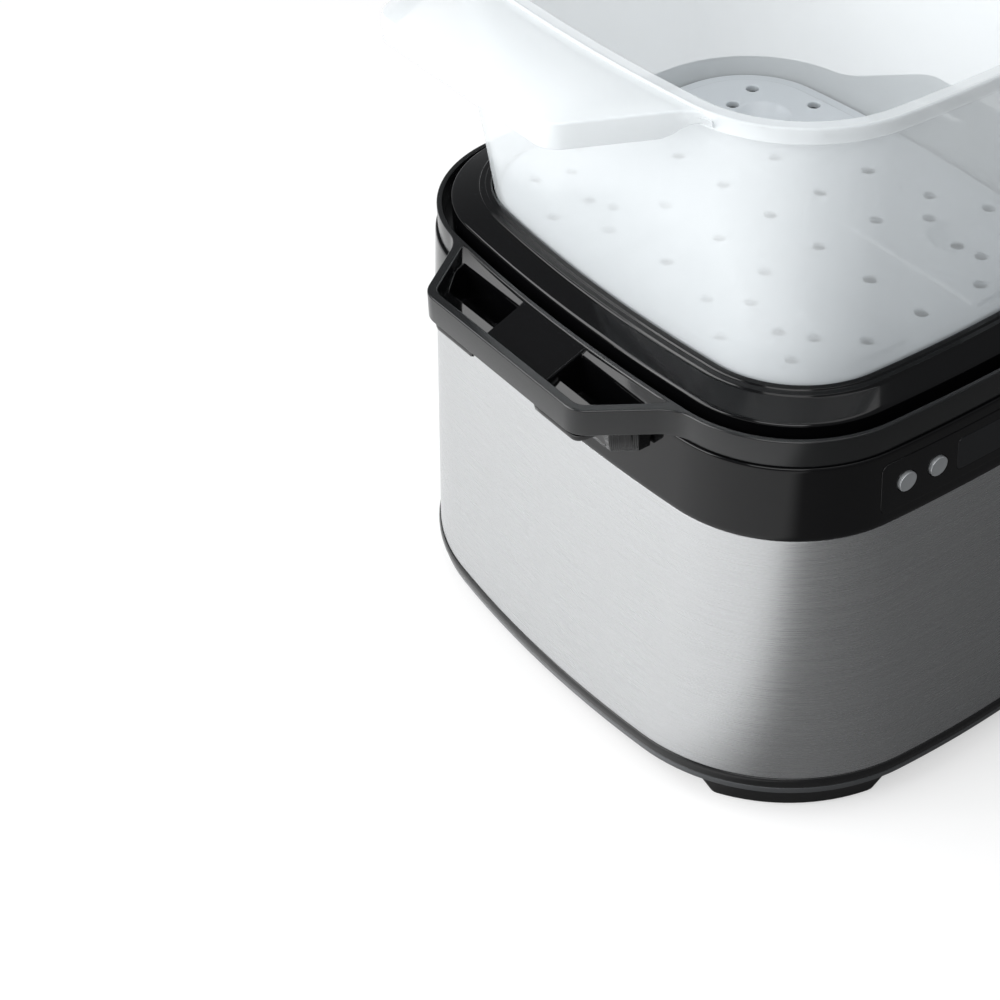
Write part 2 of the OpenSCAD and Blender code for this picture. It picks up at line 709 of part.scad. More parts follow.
tube_gap = 40;          // angle left open between the tube's ends
leg_h = 16;
module heating_element() {
    z = z_spreader - tube_d / 2;
    color("#5c5f61") {
        difference() {
            rotate_extrude() translate([tube_r, z]) circle(d = tube_d);
            linear_extrude(2 * z) polygon([[0, 0], for (a = [-1, 1])
                2 * tube_r * [cos(a * tube_gap / 2), sin(a * tube_gap / 2)]]);
        }
        for (a = [-1, 1]) rotate(a * tube_gap / 2) translate([tube_r, 0, 0]) {
            translate([0, 0, z - leg_h]) cylinder(h = leg_h + tube_d / 2, d = tube_d);
            translate([0, 0, z - leg_h - 8]) cylinder(h = 9, d = 2.6);
        }
    }
}

module clamp_ring() {
    r_in = heater_bore / 2 - 2;
    r_wall = heater_d / 2 + 0.8;
    r_out = clamp_r + 5;
    top = z_heater;
    color("#9fa3a6") difference() {
        rotate_extrude() polygon([
            [r_in, top - clamp_t], [r_wall - clamp_t, top - clamp_t], [r_wall - clamp_t, z_clamp - clamp_t],
            [r_out, z_clamp - clamp_t], [r_out, z_clamp], [r_wall, z_clamp], [r_wall, top], [r_in, top]]);
        round_clamps() translate([0, 0, z_clamp - clamp_t - 1])
            cylinder(h = clamp_t + 2, d = screw_d + 2 * screw_gap);
        round_clamps() translate([0, 0, z_clamp]) cylinder(h = 20, d = tank_boss_d + 0.4);
    }
}

// A pan-head screw: head below z, shank of the given length above it
module screw(d, l) {
    translate([0, 0, -head_h]) cylinder(h = head_h, d1 = 2 * d - 1.4, d2 = 2 * d);
    cylinder(h = l, d = d);
}

module clamp_screws() {
    color("#b4b7ba") round_clamps() translate([0, 0, z_clamp - clamp_t])
        screw(screw_d, clamp_t + z_under - z_clamp - 2);
}

thermostat_d = 16;
thermostat_h = 9;
module tabs(z, spread, h) {
    for (s = [-1, 1]) translate([s * spread - 0.4, -3, z - h]) cube([0.8, 6, h + eps]);
}

module thermostat() {
    color("#2f3133") {
        translate([0, 0, z_spreader - thermostat_h]) cylinder(h = thermostat_h, d = thermostat_d);
        tabs(z_spreader - thermostat_h, 4, 8);
    }
}

fuse_d = 4.2;
module thermal_fuse() {
    z = z_spreader - fuse_d / 2;
    color("#c9a24a") translate([24, 0, 0]) {
        pin_y(0, z, -8, 8, fuse_d);
        pin_y(0, z, -13, 13, 1);
        translate([-4.5, -3, z_spreader - fuse_d - 0.8]) cube([9, 6, 0.8 + fuse_d / 4]);
    }
}

module temp_sensor() {
    color("#b98d45") translate([-24, 0, 0]) {
        translate([0, 0, z_spreader - 10]) cylinder(h = 10, d = 6);
        translate([0, 0, z_spreader - 2]) cylinder(h = 2, d = 10);
    }
}

// ---------- boards and screws ----------
board_t = 1.6;
module at_board_posts() {
    for (x = [-1, 1], y = [-1, 1]) translate([x * (board_w / 2 - 5), y * (board_d / 2 - 5), 0]) children();
}

module power_board() {
    color("#2e6b3a") difference() {
        translate([-board_w / 2, -board_d / 2, board_z]) cube([board_w, board_d, board_t]);
        at_board_posts() translate([0, 0, board_z - 1])
            cylinder(h = board_t + 2, d = screw_d + 2 * screw_gap);
    }
}

module power_parts() {
    top = board_z + board_t;
    color("#3a3d40") {
        translate([-34, -22, top]) cube([30, 27, 22]);
        translate([6, -24, top]) cube([20, 16, 15]);
        translate([8, 6, top]) cube([18, 8, 13]);
        translate([-26, 20, top]) cylinder(h = 20, d = 12);
        translate([34, -14, top]) cube([8, 28, 12]);
        translate([-8, 16, top]) cube([12, 10, 9]);
    }
}

module board_screws() {
    color("#b4b7ba") {
        at_board_posts() translate([0, 0, board_z + board_t]) rotate([180, 0, 0]) screw(screw_d, 9);
        for (x = [-1, 1]) translate([x * boss_x, board_y + board_t, z_panel]) rotate([90, 0, 0])
            screw(2.1, board_t + 4);
    }
}

module base_screws() {
    color("#b4b7ba") for (x = [-1, 1], y = [-1, 1]) translate([x * post_x, y * post_y, z_plate])
        screw(screw_d, 15);
}

// ---------- control panel ----------
fascia_proud = 0.4;
collar_gap = 0.9;       // clears the slope of the wall behind the buttons
collar_t = 0.8;
switch_h = 3.4;
plunger_h = 1;
fascia_o = grow(panel_o, fascia_proud);

// The curved layer of the front face between two depths, cut to an upright rectangle
module panel_layer(w, h, r, out, in) {
    intersection() {
        panel_cut(w, h, r, -frame_d, 0);
        wall([[grow(housing_at(z_housing), out), z_housing], [grow(housing_at(z_frame), out), z_frame],
            [grow(housing_at(z_frame), -in), z_frame], [grow(housing_at(z_housing), -in), z_housing]]);
    }
}

module control_fascia() {
    color("#0a0a0b") difference() {
        panel_layer(fascia_w, fascia_h, 4, fascia_proud, panel_recess);
        panel_cut(window_w + 0.1, window_h + 0.1, 2.5, -frame_d, 0);
        for (x = button_xs) pin_y(x, z_panel, -frame_d, 0, button_d + 2 * button_gap);
    }
}

module display_window() {
    color("#14181c") panel_layer(window_w, window_h, 2.5, fascia_proud + 0.1, panel_recess);
}

module display_module() {
    color("#d9dcd8") plate_y(window_w - 6, window_h - 5, 0.5, board_y - 6, board_y, z_panel);
}

module control_board() {
    color("#2e6b3a") difference() {
        plate_y(2 * boss_x + 8, fascia_h - 3, 1, board_y, board_y + board_t, z_panel);
        for (x = [-1, 1]) pin_y(x * boss_x, z_panel, board_y - 1, board_y + board_t + 1, 2.2);
    }
}

module tact_switches() {
    color("#3a3d40") for (x = button_xs) {
        translate([x, 0, 0]) {
            plate_y(6, 6, 0.3, board_y - switch_h, board_y, z_panel);
            pin_y(0, z_panel, board_y - switch_h - plunger_h, board_y - switch_h + eps, 3.4);
        }
    }
}

// A cap that stands out of the fascia, a collar that keeps it in, and a stem
module button(x) {
    face = front_y(fascia_o, x) - 1.2;
    back = front_y(grow(panel_o, -housing_wall), x) + collar_gap;
    stem = board_y - switch_h - plunger_h - button_travel - 0.2;
    color("#c6c9cb") {
        pin_y(x, z_panel, face + 0.6, back + eps, button_d);
        pin_y(x, z_panel, face, face + 0.6 + eps, button_d - 1);
        pin_y(x, z_panel, back, back + collar_t, button_d + 2 * button_gap + 2);
        pin_y(x, z_panel, back + collar_t - eps, max(stem, back + collar_t), 5);
    }
}
module button_menu() { button(button_xs[0]); }
module button_minus() { button(button_xs[1]); }
module button_plus() { button(button_xs[2]); }
module button_start() { button(button_xs[3]); }

// ---------- drip tray ----------
recess_o = grow(basket_o, seat_gap);
dish_o = grow(basket_o, -12);
z_edge = z_rim + tray_edge;
z_dish = z_seat - dish_depth;
z_tray_foot = z_frame + ledge_t + lift_gap;
port_pitch = port_l + 14;
port_y = dish_o[1] - port_w / 2 - 12;
port_h = 4.4;

module ports(more, z0, z1) {
    for (s = [-1, 1], k = [-1:1]) translate([k * port_pitch, s * port_y, z0]) linear_extrude(z1 - z0)
        slot_shape(port_l + 2 * more, port_w + 2 * more);
}

module drip_tray() {
    color("#101011") difference() {
        union() {
            pan([
                [grow(dish_o, tray_wall), z_dish - tray_wall], [grow(dish_o, tray_wall), z_seat - tray_wall],
                [grow(recess_o, tray_wall), z_seat - tray_wall],
                [grow(recess_o, tray_wall), z_lip - 1.6 - tray_wall],
                [grow(tray_o, -tray_wall), z_edge - tray_wall], [grow(tray_o, -tray_wall), z_tray_foot],
                [tray_o, z_tray_foot], [tray_o, z_edge - 0.8], [grow(tray_o, -0.8), z_edge],
                [grow(recess_o, 6.6), z_lip - 2.2], [grow(recess_o, 6.2), z_lip - 1.4],
                [grow(recess_o, 3.6), z_lip - 1.1], [grow(recess_o, 3.2), z_lip - 0.4],
                [grow(recess_o, 0.8), z_lip], [recess_o, z_lip - 0.6],
                [recess_o, z_seat], [dish_o, z_seat], [dish_o, z_dish]]);
            ports(1.8, z_dish - 1, z_dish + port_h);
        }
        ports(0, z_dish - tray_wall - 1, z_dish + port_h + 1);
    }
}

// ---------- basket ----------
z_basket = z_seat + lift_gap;
basket_foot_o = grow(basket_o, -0.8);
ledge_o = grow(basket_o, -basket_wall - 8);
z_floor_ledge = z_basket + 2.2;
lip_o = grow(mouth_o, mouth_ledge);
wing_x0 = lip_o[0] - side_bow - 1.5;
wing_x1 = lip_o[0] + wing_reach;
wing_t = 2.2;
lip_t = 2;
function wing(side, t) =
    trapezoid(side, wing_x0, wing_x1, wing_root / 2, wing_grip / 2, grip_round - t, t);

// Both handles seen from above, inset by t, with rounded roots that run into the lip
module wings(t) {
    difference() {
        intersection() {
            offset(delta = -t) blend(root_blend) {
                polygon(outline(grow(lip_o, lip_t)));
                for (s = [-1, 1]) polygon(wing(s, 0));
            }
            square([4 * wing_x1, wing_root + 2 * root_blend], center = true);
        }
        polygon(outline(grow(lip_o, t == 0 ? lip_t / 4 : lip_t / 8)));
    }
}

module steam_basket() {
    color([0.93, 0.94, 0.95, 0.6]) {
        wall([
            [ledge_o, z_basket], [basket_foot_o, z_basket], [basket_o, z_lip],
            [grow(mouth_o, basket_wall), z_mouth - 2], [lip_o, z_mouth - 2], [lip_o, z_mouth - lip_h],
            [grow(lip_o, lip_t), z_mouth - lip_h], [grow(lip_o, lip_t), z_mouth + 0.3],
            [grow(lip_o, lip_t - 0.5), z_mouth + 0.9], [grow(lip_o, 0.5), z_mouth + 0.9], [lip_o, z_mouth],
            [mouth_o, z_mouth], [grow(basket_o, -basket_wall), z_lip],
            [grow(basket_foot_o, -basket_wall), z_floor_ledge], [ledge_o, z_floor_ledge]]);
        translate([0, 0, z_mouth - wing_t]) linear_extrude(wing_t) wings(0);
        translate([0, 0, z_mouth - wing_lip]) linear_extrude(wing_lip - wing_t + eps) difference() {
            wings(0);
            wings(basket_wall);
        }
    }
}

floor_o = grow(basket_foot_o, -basket_wall - 0.6);
z_floor = z_floor_ledge + lift_gap;
z_floor_top = z_floor + floor_t + pad_rise;
dimple_R = (dimple_r * dimple_r + dimple_depth * dimple_depth) / (2 * dimple_depth);

// Steam holes of one quarter, as distances from its egg dimple
quarter_holes = [[0, 0], [-21, -34], [14, -34], [28, -8], [0, -19.5], [-4, 19], [-21, 35], [14.5, 25]];
channel_holes = [[0, 0], [32, 0], [-32, 0], [64, 0], [-64, 0], [0, 35], [0, -35], [0, 70], [0, -70],
    [0, 104], [0, -104]];

module pad_shape() {
    intersection() {
        polygon(outline(grow(floor_o, -6)));
        translate([channel_x, channel_y]) union() {
            translate([8, 0]) square([floor_o[0], floor_o[1]]);
            translate([0, 8]) square([floor_o[0], floor_o[1]]);
            translate([8, 8]) circle(8);
        }
    }
}

module dimple_ball(more) {
    at_corners() translate([dimple_x, dimple_y, z_floor_top + dimple_R - dimple_depth])
        sphere(r = dimple_R + more);
}

module basket_floor() {
    color([0.86, 0.88, 0.9, 0.8]) difference() {
        union() {
            slab(floor_o, z_floor, z_floor + floor_t);
            at_corners() translate([0, 0, z_floor]) linear_extrude(floor_t + pad_rise) pad_shape();
            intersection() {
                dimple_ball(1.8);
                translate([0, 0, z_floor - 10]) linear_extrude(10 + floor_t) square(2 * floor_o[0], center = true);
            }
        }
        dimple_ball(0);
        at_corners() for (h = quarter_holes)
            pin(dimple_x + h[0], dimple_y + h[1], z_floor - 10, z_floor_top + 1, hole_d);
        for (h = channel_holes) pin(h[0], h[1], z_floor - 1, z_floor_top + 1, hole_d);
    }
}

base_plate();
foot_pads();
base_bezel();
lower_trim();
steel_sleeve();
body_liner();
upper_housing();
handle_frame();
handle_wells();
water_tank();
tank_seal();
heater_plate();
heat_spreader();
heating_element();
clamp_ring();
clamp_screws();
thermostat();
thermal_fuse();
temp_sensor();
power_board();
power_parts();
board_screws();
base_screws();
cord_gland();
control_fascia();
display_window();
display_module();
control_board();
tact_switches();
button_menu();
button_minus();
button_plus();
button_start();
drip_tray();
steam_basket();
basket_floor();
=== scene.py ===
# %% [markdown]
# # A counter-top yogurt maker
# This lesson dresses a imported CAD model. The real object is an electric steamer that keeps milk warm:
# a base with a brushed steel sleeve holds water and a heater, a black tray closes it, and a milky
# basket with a loose, perforated floor stands on the tray. The CAD model holds the sizes and the
# joints. Here every part that shows gets a smooth surface and a finish.

# %% Load the frame
import math

import bmesh
import bpy
import numpy as np
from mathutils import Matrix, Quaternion, Vector
from mathutils.geometry import delaunay_2d_cdt


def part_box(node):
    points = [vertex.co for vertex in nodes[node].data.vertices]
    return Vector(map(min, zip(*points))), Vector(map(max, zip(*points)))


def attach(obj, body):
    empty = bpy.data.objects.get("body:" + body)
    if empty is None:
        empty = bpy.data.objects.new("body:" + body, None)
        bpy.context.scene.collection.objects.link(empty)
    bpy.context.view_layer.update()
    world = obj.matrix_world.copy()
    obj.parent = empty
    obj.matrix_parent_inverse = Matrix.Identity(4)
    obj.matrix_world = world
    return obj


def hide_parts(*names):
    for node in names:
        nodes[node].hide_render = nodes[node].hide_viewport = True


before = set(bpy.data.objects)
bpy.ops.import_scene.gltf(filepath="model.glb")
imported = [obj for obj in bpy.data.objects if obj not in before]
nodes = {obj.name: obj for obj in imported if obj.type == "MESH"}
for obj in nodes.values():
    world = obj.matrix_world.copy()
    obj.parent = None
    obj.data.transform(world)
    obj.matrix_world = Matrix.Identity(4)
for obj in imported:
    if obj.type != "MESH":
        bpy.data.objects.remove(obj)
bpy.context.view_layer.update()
MM = 0.001

# %% [markdown]
# ## Sizes
# Each height and width below is read from the boxes of the CAD nodes, so the surfaces land on the
# solids that they stand for. Only what a box can't tell, such as a corner's radius or a wall, is
# written here as a number, in millimetres.

# %% Sizes from the frame


def low(node):
    """The lowest corner of a CAD node, in millimetres."""
    return np.array(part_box(node)[0]) / MM


def high(node):
    """The highest corner of a CAD node, in millimetres."""
    return np.array(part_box(node)[1]) / MM


SIDE_BOW, END_BOW = 4.0, 1.6      # how far the long sides and the ends bow outwards
FRAME_WALL, CHANNEL = 3.0, 4.5    # the frame band, and the channel between it and the tray
LEDGE, LIP, BEAD = 5.6, 2.0, 0.9  # the basket's flat ledge, its lip, and the bead on top of the lip
WING_REACH = 51.0                 # how far the basket's wings stand out from the ledge
TOP_SIDE, TOP_END = 2.5, 3.0      # how far the steel's top stands outside the frame
TRAY_R, FOOT_R, TOP_R, MOUTH_R = 62.5, 100.0, 72.5, 58.0     # corner radii, seen from above
BASKET = (103.8, 127.0, 51.6)     # the basket's half width, half depth and corner at the tray's lip

z_pad = high("foot_pads")[2]
z_plate = low("base_bezel")[2]
z_trim = low("lower_trim")[2]
z_sleeve = low("steel_sleeve")[2]
z_housing = high("steel_sleeve")[2]
z_frame = low("handle_frame")[2]
z_rim = high("handle_frame")[2]
z_lip = high("drip_tray")[2]
z_basket = low("steam_basket")[2]
z_mouth = high("steam_basket")[2] - BEAD
z_floor_top = high("basket_floor")[2]


def pillow(half_w, half_d, corner):
    """A pillow outline: half width, half depth, corner radius and the two bows."""
    return np.array([half_w, half_d, corner, SIDE_BOW, END_BOW])


def grow(o, by):
    """The same outline moved outwards by a distance: widths and radius grow, the bows stay."""
    return o + np.array([by, by, by, 0.0, 0.0])


tray_o = pillow(*high("drip_tray")[:2], TRAY_R)
frame_o = grow(tray_o, FRAME_WALL + CHANNEL)
foot_o = pillow(*high("steel_sleeve")[:2], FOOT_R)
top_o = pillow(frame_o[0] + TOP_SIDE, frame_o[1] + TOP_END, TOP_R)
mouth_w, mouth_d = high("steam_basket")[:2] - [WING_REACH + LEDGE, LEDGE + LIP]
mouth_o = pillow(mouth_w, mouth_d, MOUTH_R)
basket_o = pillow(*BASKET)
print("frame", frame_o, "mouth", mouth_o)

# %% [markdown]
# ## One outline for everything
# Seen from above, every shell of this object is the same kind of rounded rectangle: four corner
# arcs joined by four very shallow arcs that run tangent to them. A bevelled and subdivided box could
# give something like it, but its corners would swell and its sizes would drift. So a shell is a
# profile carried round the outline, and each row of the profile may use an outline of another size,
# which gives the taper of the basket and the flare of the steel sleeve.

# %% The outline and the profile
CORNER_STEPS, SIDE_STEPS = 26, 12
GUARD = 0.35                             # how far a guard row lies from the curve that it guards
CURVE_SHARE, GUARD_SHARE = 0.42, 0.48    # the most of a flat that a curve and its guard may take


def outline(rows):
    """Points round one or more pillow outlines, anticlockwise from the middle of the +X side's foot.

    rows has the shape (rows, 5). A side's arc has the radius (c^2 + b^2) / 2b for a half chord c and
    a bow b, and each corner arc starts and ends where its normal meets the side's, so that the
    outline has no kink. The result has the shape (rows, points, 2)."""
    w, d, r, side, end = np.atleast_2d(rows).T[:, :, None]
    cx, cy = w - r - side, d - r - end
    rs, re = (cy**2 + side**2) / (2 * side), (cx**2 + end**2) / (2 * end)
    ts, te = np.arcsin(cy / rs), np.arcsin(cx / re)
    sx, ey = cx + side - rs, cy + end - re
    half, full = np.pi / 2, np.pi

    def arc(x, y, radius, a0, a1, steps):
        a = a0 + (a1 - a0) * np.arange(steps) / steps
        return np.stack([x + radius * np.cos(a), y + radius * np.sin(a)], -1)

    return np.concatenate([
        arc(sx, 0 * cy, rs + r, -ts, ts, SIDE_STEPS),
        arc(cx, cy, r, ts, half - te, CORNER_STEPS),
        arc(0 * cx, ey, re + r, half - te, half + te, SIDE_STEPS),
        arc(-cx, cy, r, half + te, full - ts, CORNER_STEPS),
        arc(-sx, 0 * cy, rs + r, full - ts, full + ts, SIDE_STEPS),
        arc(-cx, -cy, r, full + ts, 3 * half - te, CORNER_STEPS),
        arc(0 * cx, -ey, re + r, 3 * half - te, 3 * half + te, SIDE_STEPS),
        arc(cx, -cy, r, 3 * half + te, 2 * full - ts, CORNER_STEPS)], axis=1)


def bend(start, pull, stop, steps=8):
    """A quadratic curve: (1 - t)^2 start + 2t(1 - t) pull + t^2 stop."""
    t = np.linspace(0, 1, steps + 1)[:, None]
    return (1 - t)**2 * start + 2 * t * (1 - t) * pull + t**2 * stop


def soften(rows, radii, steps=5, closed=True):
    """Rounds the corners of a profile. A corner gives way to a quadratic curve that it pulls, from a
    radius before it to a radius behind it. One guard row each side of the curve keeps the flats next
    to it flat when the surface is shaded smooth. No curve takes more than its share of a flat. The
    first column and the last one, an offset and a height, measure the distances."""
    rows = np.asarray(rows, float)
    count = len(rows)
    radii = np.broadcast_to(radii, count)
    out = []
    for i, (p, r) in enumerate(zip(rows, radii)):
        if r == 0 or (not closed and i in (0, count - 1)):
            out.append(p[None])
            continue
        a, b = rows[i - 1], rows[(i + 1) % count]
        la, lb = (np.hypot(*(q - p)[[0, -1]]) for q in (a, b))
        ra, rb = min(r, CURVE_SHARE * la), min(r, CURVE_SHARE * lb)
        start, stop = p + (a - p) * ra / la, p + (b - p) * rb / lb
        near_a = p + (a - p) * min(ra + GUARD, GUARD_SHARE * la) / la
        near_b = p + (b - p) * min(rb + GUARD, GUARD_SHARE * lb) / lb
        out += [near_a[None], bend(start, p, stop, steps), near_b[None]]
    return np.vstack(out)


print("points round an outline:", outline(frame_o).shape[1])

# %% [markdown]
# ## From arrays to meshes
# A mesh is collected as blocks of points and faces. A grid of rows becomes quads, a flat cap with
# holes becomes triangles of a constrained Delaunay triangulation, and one function hands the whole
# to Blender, names the piece, makes it ride on its CAD body and hides the CAD node.

# %% Grids and fills


def grid_faces(rows, cols, loop_rows=False):
    """Quads between neighbouring rows of a grid of points, each of which closes, as (quads, 4)."""
    i = np.arange(rows if loop_rows else rows - 1)[:, None]
    k = np.arange(cols)[None]
    i2, k2 = (i + 1) % rows, (k + 1) % cols
    corners = i * cols + k, i * cols + k2, i2 * cols + k2, i2 * cols + k
    return np.stack(np.broadcast_arrays(*corners), -1).reshape(-1, 4)


def sweep(rows, radii, closed=True):
    """A profile with rounded corners, carried round its outlines: a grid of points (rows, points, 3)
    in mm. A row is an outline, the distance it is moved outwards by, and a height."""
    rows = soften([[*grow(o, by), z] for o, by, z in rows], radii, closed=closed)
    flat = outline(rows[:, :5])
    z = np.broadcast_to(rows[:, None, 5:], flat.shape[:2] + (1,))
    return np.concatenate([flat, z], -1)


def inside(points, loops):
    """Whether each point lies inside an odd number of loops: the edges that a ray along +X crosses
    are counted."""
    odd = np.zeros(len(points), bool)
    x, y = points.T[:, :, None]
    for a in loops:
        b = np.roll(a, -1, 0)
        spans = (a[:, 1] > y) != (b[:, 1] > y)
        rise = np.where(a[:, 1] == b[:, 1], 1, b[:, 1] - a[:, 1])
        odd ^= (spans & (x < a[:, 0] + (y - a[:, 1]) * (b - a)[:, 0] / rise)).sum(1) % 2 == 1
    return odd


def fill(loops, up=True, extra=None):
    """Triangles of the flat region between one outer loop and the holes in it.

    loops is a list of (points, 2) arrays, and extra may add points inside. The result is the points
    that the triangles use and the triangles, turned to face up or down."""
    points = np.vstack(list(loops) + ([extra] if extra is not None else []))
    edges, start = [], 0
    for loop in loops:
        k = np.arange(len(loop))
        edges += np.stack([start + k, start + (k + 1) % len(loop)], -1).tolist()
        start += len(loop)
    found = delaunay_2d_cdt(points.tolist(), edges, [], 0, 1e-6)
    points = np.array([tuple(v) for v in found[0]])
    tris = np.array([f for f in found[2] if len(f) == 3])
    a, b, c = (points[tris[:, k]] for k in range(3))
    turn = (b - a)[:, 0] * (c - a)[:, 1] - (b - a)[:, 1] * (c - a)[:, 0]
    wrong = (turn < 0) == up
    tris[wrong] = tris[wrong][:, ::-1]
    keep = (np.abs(turn) > 1e-9) & inside((a + b + c) / 3, loops)
    used, tris = np.unique(tris[keep], return_inverse=True)
    return points[used], tris.reshape(-1, 3)


print("quads of a band of 3 rows:", len(grid_faces(3, outline(frame_o).shape[1])))

# %% The mesh that gathers them


class Mesh:
    """Points and faces that are gathered block by block and joined where blocks touch."""

    def __init__(self):
        self.points, self.faces, self.count = [], [], 0

    def add(self, points, faces):
        """Adds a block of points and the faces that number them from 0."""
        points = np.asarray(points, float).reshape(-1, 3)
        self.points.append(points)
        self.faces += (np.asarray(faces) + self.count).tolist()
        self.count += len(points)
        return self

    def grid(self, points, loop_rows=False):
        """Adds a grid of points (rows, columns, 3) with the quads between them."""
        return self.add(points, grid_faces(*points.shape[:2], loop_rows))

    def cap(self, loops, z, up=True):
        """Adds a flat cap at a height, with every loop after the first as a hole."""
        points, tris = fill(loops, up)
        return self.add(np.column_stack([points, np.full(len(points), z)]), tris)

    def object(self, name):
        """Makes a Blender object of what was gathered, in metres. Points less than 2 micrometres
        apart become one."""
        mesh = bpy.data.meshes.new(name)
        mesh.from_pydata((np.vstack(self.points) * MM).tolist(), [], self.faces)
        obj = bpy.data.objects.new(name, mesh)
        bpy.context.scene.collection.objects.link(obj)
        bm = bmesh.new()
        bm.from_mesh(mesh)
        bmesh.ops.remove_doubles(bm, verts=bm.verts, dist=2e-6)
        bm.to_mesh(mesh)
        bm.free()
        return obj

    def done(self, name, body, slot, *replaced, cutters=(), angle=None):
        """Makes the piece, with its place in its mesh and its object at the origin. Each cutter is
        taken away from it by a Boolean difference that is applied at once. Edges sharper than the
        angle, in degrees, stay sharp under smooth shading."""
        obj = self.object(name)
        for cutter in cutters:
            tool = cutter.object("cutter")
            cut = obj.modifiers.new("cut", "BOOLEAN")
            cut.object, cut.solver = tool, "EXACT"
            whole = obj.evaluated_get(bpy.context.evaluated_depsgraph_get())
            obj.data = bpy.data.meshes.new_from_object(whole)
            obj.modifiers.clear()
            bpy.data.objects.remove(tool)
        mesh = obj.data
        mesh.materials.clear()
        mesh.materials.append(finish[slot])
        mesh.shade_smooth()
        if angle:
            mesh.set_sharp_from_angle(angle=math.radians(angle))
        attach(obj, body)
        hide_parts(*(replaced or [name]))
        print(f"{name}: {len(mesh.vertices)} points, {len(mesh.polygons)} faces")


def ring_shell(name, slot, rows, radii, **more):
    """A closed hoop of the base: a softened profile carried all the way round."""
    Mesh().grid(sweep(rows, radii), loop_rows=True).done(name, "base", slot, **more)


# %% [markdown]
# ## Plates with holes
# A frame, a floor panel or a fascia is a plate between two height surfaces, bounded by one outer
# loop and any number of holes. Boolean cuts and a Bevel modifier could make one too, but the bevel
# fails where holes lie close. Here the rims are part of the shape: near a rim the surface sinks along
# a quarter circle, so that every edge catches a thin highlight as a real moulding does.

# %% Loops


def leftwards(ahead):
    """The unit vector to the left of each direction: (-y, x) over its length."""
    return np.column_stack([-ahead[:, 1], ahead[:, 0]]) / np.linalg.norm(ahead, axis=1)[:, None]


def inset(loop, by):
    """Moves each point of a closed loop to its left by a distance, along the mean of its two edges'
    normals. The left of an anticlockwise loop is its inside. The move is 2d / |n1 + n2|^2 (n1 + n2)."""
    normal = leftwards(np.roll(loop, -1, 0) - loop)
    both = normal + np.roll(normal, 1, 0)
    return loop + 2 * by * both / (both**2).sum(1, keepdims=True)


def circle(x, y, radius, steps=24):
    """An anticlockwise circle as a loop of points."""
    a = 2 * np.pi * np.arange(steps) / steps
    return np.column_stack([x + radius * np.cos(a), y + radius * np.sin(a)])


def capsule(x, y, length, width, steps=10, across=False):
    """An anticlockwise slot with round ends, along X or across it."""
    a = np.pi * np.arange(steps + 1) / steps - np.pi / 2
    end = np.column_stack([(length - width) / 2 + width / 2 * np.cos(a), width / 2 * np.sin(a)])
    loop = np.vstack([end, -end])
    return (loop[:, ::-1] * [-1, 1] if across else loop) + [x, y]


def rectangle(width, height, radius, steps=6, along=10):
    """An anticlockwise rounded rectangle round the origin, with points along its straight sides."""
    a = np.pi / 2 * np.arange(steps + 1) / steps
    arcs = []
    for k, (sx, sy) in enumerate([(1, 1), (-1, 1), (-1, -1), (1, -1)]):
        corner = np.array([sx * (width / 2 - radius), sy * (height / 2 - radius)])
        turn = a + k * np.pi / 2
        arcs.append(corner + radius * np.column_stack([np.cos(turn), np.sin(turn)]))
    t = (np.arange(1, along) / along)[:, None]
    sides = [arc[-1] + (arcs[(k + 1) % 4][0] - arc[-1]) * t for k, arc in enumerate(arcs)]
    return np.vstack([part for pair in zip(arcs, sides) for part in pair])


def densify(loop, step):
    """Adds points along the edges of a closed loop that are longer than a step."""
    out = []
    for p, q in zip(loop, np.roll(loop, -1, 0)):
        n = max(1, int(np.ceil(np.linalg.norm(q - p) / step)))
        out.append(p + (q - p) * (np.arange(n) / n)[:, None])
    return np.vstack(out)


def pairs(x, y):
    """Two grids of coordinates as a list of points."""
    return np.column_stack([x.ravel(), y.ravel()])


def distance(points, edge):
    """From each point to the nearest point of an edge, in batches that fit in memory."""
    parts = np.array_split(points, len(points) // 2000 + 1)
    return np.concatenate([np.min(np.hypot(*(part[:, None] - edge).T), 0) for part in parts])


def spread(loops, step, clear):
    """Points of a square grid over the first loop's box, none nearer than a distance to any loop."""
    lo, hi = loops[0].min(0), loops[0].max(0)
    points = pairs(*np.meshgrid(*(np.arange(a + step / 2, b, step) for a, b in zip(lo, hi))))
    return points[distance(points, np.vstack(loops)) > clear]


print("points round a slot:", len(capsule(0, 0, 20, 4)))

# %% Plates and lathe forms


def level(z):
    """A flat height surface."""
    return lambda p: np.full(len(p), float(z))


